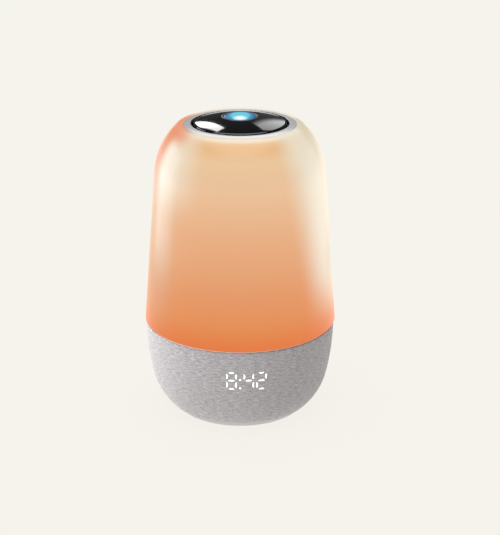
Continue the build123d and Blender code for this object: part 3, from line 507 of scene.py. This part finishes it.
def cloth_material():
    """Heather knit: streaks, flecks and faint rows on the unrolled cloth."""
    mat, shader = new_material("heather_cloth", (0.4, 0.4, 0.41), 0.92)
    shader.inputs["Sheen Weight"].default_value = 0.3
    shader.inputs["Sheen Roughness"].default_value = 0.5
    axes = axes_of(mat, coords(mat))
    turn = calc(mat, "ARCTAN2", axes["Y"], axes["X"])
    unrolled = node(mat, "ShaderNodeCombineXYZ")
    wire(mat, times(mat, turn, BOWL_R * MM), unrolled.inputs["X"])
    wire(mat, axes["Z"], unrolled.inputs["Y"])

    def thread(across, up):
        """Noise with so many cells per metre round the cloth and up it."""
        return noise(mat, mapped(mat, unrolled.outputs["Vector"], (across, up, 1)), 1.0, 2.0, 0.6)

    rows = node(mat, "ShaderNodeTexWave", wave_type="BANDS", bands_direction="Y", Scale=1.0,
                Distortion=1.6, Detail=1.0)
    rows.inputs["Detail Scale"].default_value = 0.6
    wire(mat, mapped(mat, unrolled.outputs["Vector"], (260, 480, 1)), rows.inputs["Vector"])
    knit = add_up(mat, (thread(260, 1700), 0.44), (thread(1100, 1600), 0.32), (rows.outputs["Fac"], 0.24))
    tone = ramp(mat, knit, [(0.385, (0.24, 0.224, 0.243)), (0.47, (0.43, 0.408, 0.435)),
                            (0.54, (0.58, 0.555, 0.585)), (0.625, (0.82, 0.795, 0.82))])
    wire(mat, tone, shader.inputs["Base Color"])
    bump(mat, shader, knit, 0.35, 0.0005)
    return mat


TOP_ROUND, HOLE_GAP, BACK_SINK = 0.35, 0.1, 0.05
heights = evenly(BOWL_LOW, BOWL_TOP - TOP_ROUND, 60)
front = [(bowl_radius(z), z) for z in heights]
front += arc((BOWL_R - TOP_ROUND, BOWL_TOP - TOP_ROUND), TOP_ROUND, 0, math.pi / 2, 4)[1:]
back = [(bowl_radius(z, FABRIC_T) - BACK_SINK, z) for z in heights[::6]]
sleeve = lathe("fabric_cover", front + [(BOWL_R - FABRIC_T, BOWL_TOP)] + back[::-1], "base",
               closed=True, segments=256)
cut_back(sleeve, pill(HOLE_GAP))
cut_back(sleeve, circle(BEZEL_TUBE_R + HOLE_GAP, 0, SOCKET_Z))
smooth(sleeve.data, 50)
finish_piece(sleeve, cloth_material(), "fabric_grey", "fabric_sleeve")

# ---------------------------------------------------------------- clock segments in the cloth

DIGIT_W, DIGIT_H, MIDDLE_RISE = 5.9, 11.3, 0.3
STROKE_W, LEVEL_L, UPPER_L, LOWER_L = 0.9, 3.0, 3.3, 3.8
MIDDLE_L, MIDDLE_W, MIDDLE_BLUNT = 3.6, 1.0, 0.8
UPPER_DROP = 0.15
DIGITS = [(-5.0, "abcdefg", 0.0), (5.0, "bcfg", 0.0), (12.35, "abdeg", 0.35)]
DOT_R, DOT_HEIGHTS = 0.58, (38.1, 32.5)
STROKE_PROUD, STROKE_DEEP = 0.03, 0.4


def petal(length, steps=14):
    """Half petal: a straight outer edge on the first axis and a bulging inner edge."""
    bulge = [(length / 2 * math.cos(a), STROKE_W * math.sin(a)) for a in evenly(0, math.pi, steps)[1:-1]]
    return [(along, 0) for along in evenly(-length / 2, length / 2, steps)] + bulge


def middle_bar(steps=24):
    """A stroke that bulges both ways, with blunt ends."""
    return [(MIDDLE_L / 2 * math.cos(a),
             MIDDLE_W / 2 * math.copysign(abs(math.sin(a)) ** MIDDLE_BLUNT, math.sin(a)))
            for a in evenly(0, math.tau, steps)[:-1]]


def digit(x, lit, drop):
    """Outlines of the lit strokes of one digit, named a to g in the usual order."""
    half, centre = DIGIT_W / 2, DISPLAY_Z - drop
    top, low, middle = centre + DIGIT_H / 2, centre - DIGIT_H / 2, centre + MIDDLE_RISE
    upper, lower = (top + middle) / 2 - UPPER_DROP, (low + middle) / 2
    shapes = {
        "a": [(x + p, top - q) for p, q in petal(LEVEL_L)],
        "d": [(x + p, low + q) for p, q in petal(LEVEL_L)],
        "g": [(x + p, middle + q) for p, q in middle_bar()],
        "f": [(x - half + q, upper + p) for p, q in petal(UPPER_L)],
        "b": [(x + half - q, upper + p) for p, q in petal(UPPER_L)],
        "e": [(x - half + q, lower + p) for p, q in petal(LOWER_L)],
        "c": [(x + half - q, lower + p) for p, q in petal(LOWER_L)],
    }
    return [shapes[name] for name in lit]


def on_bowl(outline, first):
    """Points and faces of a closed patch over an (x, z) outline on the bowl's front.

    The faces number their points from first.
    """
    count = len(outline)
    middle = (sum(x for x, z in outline) / count, sum(z for x, z in outline) / count)
    points = []
    for lift in (STROKE_PROUD, -STROKE_DEEP):
        for x, z in outline + [middle]:
            r = bowl_radius(z) + lift
            points.append((x * MM, -math.sqrt(r * r - x * x) * MM, z * MM))
    below = count + 1
    faces = []
    for i in range(count):
        j = (i + 1) % count
        faces += [[i, j, count], [below + i, below + j, below + count], [i, j, below + j, below + i]]
    return points, [[v + first for v in face] for face in faces]


def segment_material():
    """Light through the weave of the cloth."""
    mat, shader = new_material("segment_glow", (0.95, 0.95, 0.97), 0.8)
    weave = noise(mat, coords(mat, (900, 900, 2600)), 1.0, 2.0, 0.6)
    wire(mat, ramp(mat, weave, [(0.25, (0.80, 0.80, 0.84)), (0.55, (1.0, 1.0, 1.0))]),
         shader.inputs["Emission Color"])
    shader.inputs["Emission Strength"].default_value = 1.0
    return mat


strokes = [outline for x, lit, drop in DIGITS for outline in digit(x, lit, drop)]
strokes += [circle(DOT_R, 0, z, 20) for z in DOT_HEIGHTS]
stroke_points, stroke_faces = [], []
for outline in strokes:
    points, faces = on_bowl(outline, len(stroke_points))
    stroke_points += points
    stroke_faces += faces
clock = link("clock_segments", closed_mesh("clock_segments", stroke_points, stroke_faces), "base")
finish_piece(clock, segment_material(), "segment_white", "display_segments")

# ---------------------------------------------------------------- rear panel and its keys

FIELD_LIFT = 0.35
KEY_R, KEY_GAP, KEY_PITCH, KEY_FACE = 3.0, 0.25, 8.6, 1.25
MARK_W, RAY_W, MARK_FOOT, MARK_FACE = 0.34, 0.28, 1.0, 1.29

# Rows of the moulded pieces from their seat to their face: inset or radius, and lift off the bowl
PANEL_ROWS = [(PANEL_LIP, -1.4), (PANEL_LIP, 0.02), (0, 0.02), (0, 0.30), (0.12, 0.48), (0.4, 0.6),
              (1.25, 0.6), (1.5, 0.5), (1.6, FIELD_LIFT), (4.5, FIELD_LIFT), (7.3, FIELD_LIFT)]
KEY_ROWS = [(KEY_R, -1.0), (KEY_R, 0.90), (KEY_R - 0.1, 1.09), (KEY_R - 0.3, 1.21), (KEY_R - 0.6, KEY_FACE),
            (KEY_R - 1.8, KEY_FACE)]
BEZEL_ROWS = [(BEZEL_TUBE_R, 0.02), (BEZEL_R, 0.02), (BEZEL_R, 0.25), (BEZEL_R - 0.12, 0.4),
              (BEZEL_R - 0.4, 0.5), (BEZEL_BORE_R + 0.5, 0.5), (BEZEL_BORE_R + 0.15, 0.38),
              (BEZEL_BORE_R, 0.1)]


def rear_loop(outline, lift):
    """Points in mm over an (x, z) outline, lifted off the back of the bowl."""
    return [(x, math.sqrt((bowl_radius(z) + lift) ** 2 - x * x), z) for x, z in outline]


def bar_mark(x, z, length, width=MARK_W, turn=0.0):
    """Both long sides of a bar about (x, z), turned by an angle."""
    c, s = math.cos(turn), math.sin(turn)
    return [[(x + (c * end * length - s * side * width) / 2, z + (s * end * length + c * side * width) / 2)
             for end in (-1, 1)] for side in (-1, 1)]


def arc_mark(x, z, r, start, end):
    """Both sides of an arc about (x, z)."""
    return [arc((x, z), q, start, end, 28) for q in (r - MARK_W / 2, r + MARK_W / 2)]


def power_mark(x):
    """An open ring with a bar through its gap."""
    return [arc_mark(x, PANEL_Z - 0.1, 1.15, math.radians(130), math.radians(410)),
            bar_mark(x, PANEL_Z + 0.75, 1.3, turn=math.pi / 2)]


def minus_mark(x):
    return [bar_mark(x, PANEL_Z, 3.0)]


def play_mark(x):
    """A triangle that points to -X, which is the right when seen from behind."""
    return [[[(x + 0.9, PANEL_Z + way * 1.2), (x - 1.25, PANEL_Z + way * 0.02)] for way in (-1, 1)]]


def plus_mark(x):
    """A minus with an upright in two halves."""
    upright = [bar_mark(x, PANEL_Z + way * 0.835, 1.33, turn=math.pi / 2) for way in (1, -1)]
    return minus_mark(x) + upright


def light_mark(x):
    """A small ring with eight rays."""
    rays = [bar_mark(ray_x, ray_z, 0.7, RAY_W, math.pi * i / 4)
            for i, (ray_x, ray_z) in enumerate(circle(1.4, x, PANEL_Z, 8))]
    return [arc_mark(x, PANEL_Z, 0.62, 0, math.tau)] + rays


def raised_mark(name, one_side, other_side, body):
    """A thin raised mark between two rows of (x, z) points, on the face of a key."""
    outline = one_side + other_side[::-1]
    count = len(outline)
    points = [tuple(c * MM for c in point)
              for lift in (MARK_FACE, MARK_FOOT) for point in rear_loop(outline, lift)]
    faces = []
    for i in range(len(one_side) - 1):
        quad = [i, i + 1, count - 2 - i, count - 1 - i]
        faces += [quad, [v + count for v in quad]]
    faces += [[i, (i + 1) % count, (i + 1) % count + count, i + count] for i in range(count)]
    return link(name, closed_mesh(name, points, faces), body)


KEYS = [("power_key", -2 * KEY_PITCH, power_mark), ("volume_down_key", -KEY_PITCH, minus_mark),
        ("sound_key", 0, play_mark), ("volume_up_key", KEY_PITCH, plus_mark),
        ("light_key", 2 * KEY_PITCH, light_mark)]

panel_loops = [rear_loop(pill(PANEL_LIP - inset, runs=36), lift) for inset, lift in PANEL_ROWS]
panel = stacked("panel_moulded", panel_loops, "base", start=8)
for key_name, key_x, key_mark in KEYS:
    cut_back(panel, circle(KEY_R + KEY_GAP, key_x, PANEL_Z))
smooth(panel.data, 40)
panel_material = grained("panel_dark", (0.045, 0.045, 0.05), 0.42, relief=0.15)
finish_piece(panel, panel_material, "key_grey", "control_panel")

key_material = grained("key_moulded", (0.40, 0.40, 0.41), 0.5, relief=0.1)
mark_material = grained("mark_print", (0.85, 0.85, 0.86), 0.6)
for key_name, key_x, key_mark in KEYS:
    key_body = key_name + "_body"
    key_loops = [rear_loop(circle(r, key_x, PANEL_Z), lift) for r, lift in KEY_ROWS]
    cap = stacked(key_name + "_cap", key_loops, key_body, start=0)
    finish_piece(cap, key_material, "key_grey", key_name)
    for number, sides in enumerate(key_mark(key_x), 1):
        mark = raised_mark(key_name + "_mark_" + str(number), *sides, key_body)
        finish_piece(mark, mark_material, "segment_white")

# ---------------------------------------------------------------- power socket

SEAT_SINK, FACE_PROUD, WELL_DEEP, BARREL_L = 1.7, 1.2, 9.5, 9.6
SOCKET_SEAT = bowl_radius(SOCKET_Z - BEZEL_R) - SEAT_SINK
SOCKET_FACE = SOCKET_SEAT + FACE_PROUD
SOCKET_FLOOR, SOCKET_BACK = SOCKET_FACE - WELL_DEEP, SOCKET_SEAT - BARREL_L
FLANGE_R, BARREL_R, BORE_R = 6.4, 5.2, 2.8
PIN_R, PIN_L = 1.0, 9.0
pin_tip = SOCKET_FLOOR + PIN_L


def seat_loop(r):
    """A circle on the socket's flat seat."""
    return [(x, SOCKET_SEAT, z) for x, z in circle(r, 0, SOCKET_Z, 96)]


bezel_loops = [seat_loop(BEZEL_TUBE_R)]
bezel_loops += [rear_loop(circle(r, 0, SOCKET_Z, 96), lift) for r, lift in BEZEL_ROWS]
bezel_loops += [seat_loop(BEZEL_BORE_R)]
bezel = stacked("bezel_moulded", bezel_loops, "base", angle=40)
bezel_material = grained("bezel_dark", (0.045, 0.045, 0.05), 0.42, relief=0.15)
finish_piece(bezel, bezel_material, "key_grey", "socket_bezel")

socket_profile = [(BORE_R, SOCKET_FLOOR), (BORE_R, SOCKET_FACE - 0.35), (BORE_R + 0.35, SOCKET_FACE),
                  (FLANGE_R - 0.3, SOCKET_FACE), (FLANGE_R, SOCKET_FACE - 0.3), (FLANGE_R, SOCKET_SEAT),
                  (BARREL_R, SOCKET_SEAT), (BARREL_R, SOCKET_BACK), (0, SOCKET_BACK), (0, SOCKET_FLOOR)]
socket = turned_y("socket_moulded", socket_profile, SOCKET_Z)
finish_piece(socket, grained("socket_black", (0.012, 0.012, 0.013), 0.35), "socket_black", "dc_socket")
pin_profile = [(0, SOCKET_FLOOR - 0.2), (PIN_R, SOCKET_FLOOR - 0.2), (PIN_R, pin_tip - 0.4),
               (PIN_R - 0.15, pin_tip - 0.12), (PIN_R - 0.4, pin_tip), (0, pin_tip)]
pin = turned_y("socket_pin", pin_profile, SOCKET_Z)
finish_piece(pin, grained("pin_nickel", (0.62, 0.60, 0.55), 0.22, metal=1.0, scale=(1, 6, 1)), "screw_steel")

# ---------------------------------------------------------------- bottom cover and feet

COVER_LOW, COVER_FLOOR, COVER_TOP = 0.5, 2.8, 5.1
COVER_SIDE_LOW, COVER_SIDE_HIGH, COVER_RIM_W = 1.0, 5.3, 3.0
PIT_R, PIT_LOW = FOOT_R + 0.15, 0.2
DEFLECTOR_R, DEFLECTOR_TIP_R, DEFLECTOR_TOP = 13.0, 2.0, 8.3
foot_places = [(FOOT_PITCH * MM * math.cos(a), FOOT_PITCH * MM * math.sin(a), 0)
               for a in evenly(math.radians(45), math.radians(315), 3)]

side = [(bowl_radius(z), z) for z in evenly(COVER_SIDE_LOW, COVER_SIDE_HIGH, 10)]
low_r, top_r = side[0][0], side[-1][0]
rim_r = top_r - COVER_RIM_W
cover_profile = [(0, COVER_LOW), (low_r - 0.9, COVER_LOW), (low_r - 0.3, COVER_LOW + 0.15)] + side
cover_profile += [(top_r - 0.25, COVER_TOP), (rim_r, COVER_TOP), (rim_r, COVER_FLOOR),
                  (DEFLECTOR_R, COVER_FLOOR), (DEFLECTOR_TIP_R, DEFLECTOR_TOP), (0, DEFLECTOR_TOP)]
cover = lathe("bottom_shell", cover_profile, "base")
for foot_place in foot_places:
    pit = lathe("pit", [(0, PIT_LOW), (PIT_R, PIT_LOW), (PIT_R, FOOT_T), (0, FOOT_T)], None, segments=48)
    pit.location = foot_place
    cut_with(cover, pit)
smooth(cover.data, 40)
cover_material = grained("cover_moulded", (0.58, 0.58, 0.60), 0.45, spread=0.03)
finish_piece(cover, cover_material, "cover_grey", "bottom_cover")

foot_profile = [(0, 0), (3.5, 0), (3.95, 0.15), (FOOT_R, 0.5), (FOOT_R, FOOT_T), (0, FOOT_T)]
feet_mesh = bpy.data.meshes.new("feet_smooth")
feet_bm = bmesh.new()
for foot_place in foot_places:
    foot = lathe("foot", foot_profile, None, segments=48)
    foot.data.transform(Matrix.Translation(foot_place))
    feet_bm.from_mesh(foot.data)
    bpy.data.objects.remove(foot)
feet_bm.to_mesh(feet_mesh)
feet_bm.free()
smooth(feet_mesh)
feet = link("feet_smooth", feet_mesh, "base")
finish_piece(feet, grained("foot_rubber", (0.16, 0.16, 0.165), 0.8, relief=0.2), "rubber_grey", "rubber_feet")

# ---------------------------------------------------------------- silver ring

RING_BEVEL = 0.35
CROWN_IN, CROWN_OUT = SHADE_TOP + 0.40, SHADE_TOP - 0.20
crown_in_r, crown_out_r = RING_HOLE + RING_BEVEL, RING_R - RING_BEVEL
crown = [(crown_out_r + (crown_in_r - crown_out_r) * share,
          CROWN_OUT + (CROWN_IN - CROWN_OUT) * math.sin(math.pi / 2 * share)) for share in evenly(0, 1, 8)]
ring_profile = [(RING_HOLE, RING_SEAT), (RING_R, RING_SEAT), (RING_R, CROWN_OUT - RING_BEVEL)]
ring_profile += arc((crown_out_r, CROWN_OUT - RING_BEVEL), RING_BEVEL, 0, math.pi / 2, 4)[1:-1] + crown
ring_profile += [(RING_HOLE + 0.1, CROWN_IN - 0.1), (RING_HOLE, CROWN_IN - RING_BEVEL)]
ring = lathe("ring_plated", ring_profile, "base", closed=True, segments=256)
silver = grained("plated_silver", (0.78, 0.78, 0.80), 0.26, metal=1.0, grain=1200, relief=0.006, spread=0.03)
finish_piece(ring, silver, "ring_silver", "silver_ring")

# ---------------------------------------------------------------- domed key, its ring and its lens

DOME_SKIRT, DOME_EDGE, DOME_INNER_R = 7.6, 0.45, 25.2
DOME_STEP, LENS_WELL, LENS_LOW = 173.5, 177.0, 177.4


def black_material():
    """Polished black plastic."""
    mat, shader = new_material("polished_black", (0.003, 0.003, 0.004), 0.075, coat=0.35, spec=0.38)
    shader.inputs["Coat Roughness"].default_value = 0.03
    place = coords(mat)
    tone = ramp(mat, noise(mat, place, 60.0, 2.0),
                [(0.3, (0.002, 0.002, 0.003)), (0.7, (0.004, 0.004, 0.005))])
    wire(mat, tone, shader.inputs["Base Color"])
    bump(mat, shader, noise(mat, place, 500.0, 2.0), 0.01, 0.0001)
    return mat


def distance_share(mat, vector, centre_y, stretch, far):
    """Distance from (0, centre_y) in mm, stretched along X and Y, as 0 to 1 at far."""
    shifted = mapped(mat, vector, (*stretch, 0), (0, -centre_y * stretch[1] * MM, 0))
    return remap(mat, vector_step(mat, "LENGTH", shifted), 0, far * MM)


def lens_material():
    """A blue lit lens that darkens to its rim, with a painted white highlight towards the front."""
    mat, shader = new_material("lens_lit", (0.02, 0.10, 0.16), 0.25, spec=0.25)
    place = coords(mat)
    deep = ramp(mat, distance_share(mat, place, 0, (1, 0.55), 9.5),
                [(0.0, (0.14, 0.58, 0.66)), (0.50, (0.12, 0.50, 0.62)), (0.68, (0.05, 0.19, 0.38)),
                 (0.86, (0.025, 0.07, 0.18)), (1.0, (0.01, 0.015, 0.03))])
    # Painted highlight: a white spot towards the front of the lens
    painted_highlight_spot = ramp(mat, distance_share(mat, place, -5.5, (1.3, 1.3), 6.0), [(0.35, (1, 1, 1)), (1.0, (0, 0, 0))])
    wire(mat, blend_in(mat, painted_highlight_spot, deep, (0.98, 1.0, 1.0)), shader.inputs["Emission Color"])
    shader.inputs["Emission Strength"].default_value = 0.95
    tone = ramp(mat, noise(mat, place, 700.0), [(0.3, (0.02, 0.09, 0.14)), (0.7, (0.03, 0.12, 0.18))])
    wire(mat, tone, shader.inputs["Base Color"])
    return mat


black = black_material()
dome_edge_z = dome_height(DOME_R)
dome_profile = [(DOME_INNER_R, dome_edge_z - DOME_SKIRT), (DOME_R, dome_edge_z - DOME_SKIRT),
                (DOME_R, dome_edge_z - DOME_EDGE * 1.6), (DOME_R - 0.05, dome_edge_z - DOME_EDGE),
                (DOME_R - 0.2, dome_edge_z - 0.15)]
dome_profile += [(r, dome_height(r)) for r in evenly(DOME_R - DOME_EDGE, LENS_RING_R, 24)]
dome_profile += [(LENS_RING_R, LENS_WELL), (DOME_INNER_R, DOME_STEP)]
dome = lathe("dome_polished", dome_profile, "dome", closed=True, segments=256, angle=50)
finish_piece(dome, black, "dome_black", "dome_key")

collar_top = dome_height(LENS_RING_R) + 0.25
collar = lathe("lens_collar", [(LENS_RING_R, LENS_LOW), (LENS_RING_R, collar_top - 0.15),
                               (LENS_RING_R - 0.15, collar_top), (LENS_R + 0.25, collar_top),
                               (LENS_R, collar_top - 0.3), (LENS_R, LENS_LOW)],
               "dome", closed=True, segments=160)
finish_piece(collar, grained("collar_satin", (0.10, 0.11, 0.14), 0.35, metal=0.3), "lens_band", "lens_ring")

lens_r, lens_edge = LENS_R - 0.05, collar_top - 0.4
lens_profile = [(0, LENS_LOW), (lens_r, LENS_LOW), (lens_r, lens_edge)]
lens_profile += [(lens_r * math.cos(a), lens_edge + (DOME_APEX - lens_edge) * math.sin(a))
                 for a in [math.radians(degrees) for degrees in range(6, 90, 6)]]
lens_profile += [(0, DOME_APEX)]
lens = lathe("lens_frosted", lens_profile, "dome", segments=160)
finish_piece(lens, lens_material(), "lens_blue", "dome_lens")

# ---------------------------------------------------------------- materials of the carried-over nodes

inner_nodes = [
    (grained("inner_white", (0.78, 0.78, 0.76), 0.5), ["deck", "led_board", "column"]),
    (grained("housing_grey", (0.20, 0.20, 0.21), 0.6, relief=0.15), ["base_housing"]),
    (grained("basket_black", (0.055, 0.055, 0.06), 0.45, relief=0.15), ["speaker_basket"]),
    (grained("chip_black", (0.015, 0.015, 0.016), 0.4),
     ["processor_chip", "amplifier_chip", "display_mask", "key_switches", "dome_switches",
      "projector_barrel"]),
    (grained("board_green", (0.01, 0.09, 0.035), 0.35, coat=0.3, spread=0.2),
     ["main_board", "display_board", "key_board", "top_board"]),
    (grained("screw_steel", (0.5, 0.5, 0.51), 0.3, metal=1.0, scale=(1, 1, 6)),
     ["cover_screws", "speaker_screws", "deck_screws", "column_screws", "board_screws", "speaker_top_plate",
      "speaker_yoke", "socket_nut"]),
    (grained("can_aluminium", (0.7, 0.7, 0.71), 0.25, metal=1.0), ["capacitors"]),
    (grained("ferrite", (0.05, 0.05, 0.052), 0.8, relief=0.3), ["speaker_magnet"]),
    (grained("cone_paper", (0.03, 0.03, 0.03), 0.9, relief=0.4, grain=1500), ["speaker_cone", "dust_cap"]),
    (grained("surround_rubber", (0.02, 0.02, 0.021), 0.7),
     ["speaker_gasket", "speaker_surround", "return_pads"]),
    (grained("spider_cloth", (0.35, 0.20, 0.06), 0.9, relief=0.4), ["speaker_spider"]),
    (grained("coil_copper", (0.75, 0.33, 0.15), 0.3, metal=1.0, scale=(1, 1, 8)), ["voice_coil"]),
    (grained("cable_grey", (0.30, 0.30, 0.31), 0.5, scale=(1, 6, 1)),
     ["display_cable", "key_cable", "led_cable", "top_cable", "speaker_leads", "socket_leads"]),
    (grained("led_diffuser", (0.9, 0.75, 0.3), 0.4), ["leds", "projector_led"]),
    (grained("connector_white", (0.7, 0.68, 0.62), 0.5), ["board_connectors"]),
    (black, ["top_carrier"]),
]
for inner_material, names in inner_nodes:
    for name in names:
        dress(name, inner_material)

# ---------------------------------------------------------------- floor and world

FLOOR_REACH = 4.0


def floor_material():
    """A pale floor that mostly glows by itself, so that the object casts only a faint shadow on it."""
    mat, shader = new_material("floor_pale", (0.3, 0.3, 0.29), 0.9, spec=0.0)
    shader.inputs["Emission Color"].default_value = (0.913, 0.896, 0.840, 1)
    shader.inputs["Emission Strength"].default_value = 0.9355
    tone = ramp(mat, noise(mat, coords(mat), 6.0),
                [(0.3, (0.0592, 0.0585, 0.0548)), (0.7, (0.0608, 0.0601, 0.0562))])
    wire(mat, tone, shader.inputs["Base Color"])
    return mat


floor_corners = [(x * FLOOR_REACH, y * FLOOR_REACH, 0) for x, y in ((-1, -1), (1, -1), (1, 1), (-1, 1))]
floor = link("floor", plain_mesh("floor", floor_corners, [[0, 1, 2, 3]]))
floor.data.materials.append(floor_material())

world = bpy.data.worlds.new("studio")
world.use_nodes = True
world.node_tree.nodes["Background"].inputs["Color"].default_value = (1.0, 1.0, 1.0, 1)
world.node_tree.nodes["Background"].inputs["Strength"].default_value = 0.06
bpy.context.scene.world = world

# ---------------------------------------------------------------- lights

PALE_BLUE, FAINT_BLUE = (0.78, 0.90, 1.0), (0.92, 0.96, 1.0)
CARD_Y = 1.2
FADE_RISE = 0.152


def lit_only(light, objects):
    """Limit a light to the given objects."""
    group = bpy.data.collections.new(light.name + "_receivers")
    for item in objects:
        group.objects.link(item)
    light.light_linking.receiver_collection = group


def all_but(light, objects):
    """Keep a light off the given objects."""
    lit_only(light, objects)
    for entry in light.light_linking.receiver_collection.collection_objects:
        entry.light_linking.link_state = "EXCLUDE"


def around(angle, distance, z):
    """A place at an angle from the front (-Y) towards +X."""
    a = math.radians(angle)
    return (distance * math.sin(a), -distance * math.cos(a), z)


def area(name, location, target, size, radiance, colour=(1, 1, 1), only=None, but=None):
    """A soft box of a given brightness, unseen by the camera, on only some objects or on all but some."""
    data = bpy.data.lights.new(name, "AREA")
    data.shape = "RECTANGLE"
    data.size, data.size_y = size
    data.energy = radiance * math.pi * size[0] * size[1]
    data.color = colour
    obj = link(name, data)
    obj.location = location
    obj.rotation_euler = (Vector(target) - Vector(location)).to_track_quat("-Z", "Y").to_euler()
    obj.visible_camera = False
    if only:
        lit_only(obj, only)
    else:
        all_but(obj, but)


def card(name, corners, radiance, receivers, fade=None):
    """A bright clear panel behind the object, (x, z) corners in metres, that only the receivers reflect.

    With fade, (low, high), it is dark where x plus a share of z is low, and bright where that is high.
    """
    mesh = plain_mesh(name, [(x, CARD_Y, z) for x, z in corners], [list(range(len(corners)))])
    obj = link(name, mesh)
    mat = bpy.data.materials.new(name)
    mat.use_nodes = True
    mat.node_tree.nodes.clear()
    shine = node(mat, "ShaderNodeEmission", Strength=radiance)
    if fade:
        axes = axes_of(mat, coords(mat))
        slant = add_up(mat, (axes["X"], 1.0), (axes["Z"], FADE_RISE))
        wire(mat, ramp(mat, masked(mat, slant, *fade), [(0, (0.02, 0.02, 0.02)), (1, (1, 1, 1))]),
             shine.inputs["Color"])
    both = node(mat, "ShaderNodeAddShader")
    wire(mat, shine.outputs["Emission"], both.inputs[0])
    wire(mat, node(mat, "ShaderNodeBsdfTransparent").outputs["BSDF"], both.inputs[1])
    wire(mat, both.outputs["Shader"], node(mat, "ShaderNodeOutputMaterial").inputs["Surface"])
    mesh.materials.append(mat)
    obj.visible_camera = False
    obj.visible_diffuse = False
    obj.visible_shadow = False
    lit_only(obj, receivers)


sun_data = bpy.data.lights.new("overhead", "SUN")
sun_data.energy = 2.9
sun_data.angle = math.radians(70)
sun = link("overhead", sun_data)
all_but(sun, [ring])

area("left_box", around(-110, 0.36, 0.150), (0, 0, 0.150), (0.24, 0.29), 3.2, PALE_BLUE, only=[shade])
area("left_wash", around(-110, 0.36, 0.165), (0, 0, 0.165), (0.24, 0.27), 4.8, but=[floor, ring, shade])
area("right_box", around(122, 0.36, 0.120), (0, 0, 0.120), (0.40, 0.24), 0.65, FAINT_BLUE, only=[shade])
area("front_left", around(-52, 1.0, 0.45), (0, 0, 0.04), (0.5, 0.5), 5.0, but=[floor, shade, ring])
area("back_fill", around(205, 0.9, 0.35), (0, 0, 0.03), (0.5, 0.4), 3.0, but=[floor, shade, ring, dome])

card("window_card", [(-0.249, 0.444), (-0.176, 1.193), (-0.29, 1.351), (-0.352, 0.787)], 6.9, [dome])
card("wedge_card", [(0.074, 0.174), (0.116, 0.157), (0.217, 0.327), (0.325, 0.691), (0.386, 1.104),
                    (0.269, 1.25), (0.064, 0.839), (0.085, 0.575)], 2.10, [dome], fade=(0.225, 0.355))
area("ring_glow", (0, 1.6, 0.55), (0, 0, 0.55), (3.0, 0.9), 0.40, only=[ring])
area("ring_high", (0, 1.6, 1.8), (0, 0, 1.8), (1.5, 1.6), 1.1, only=[ring])
area("ring_top", (0, 0, 1.6), (0, 0, 0), (2.0, 2.0), 0.5, only=[ring])
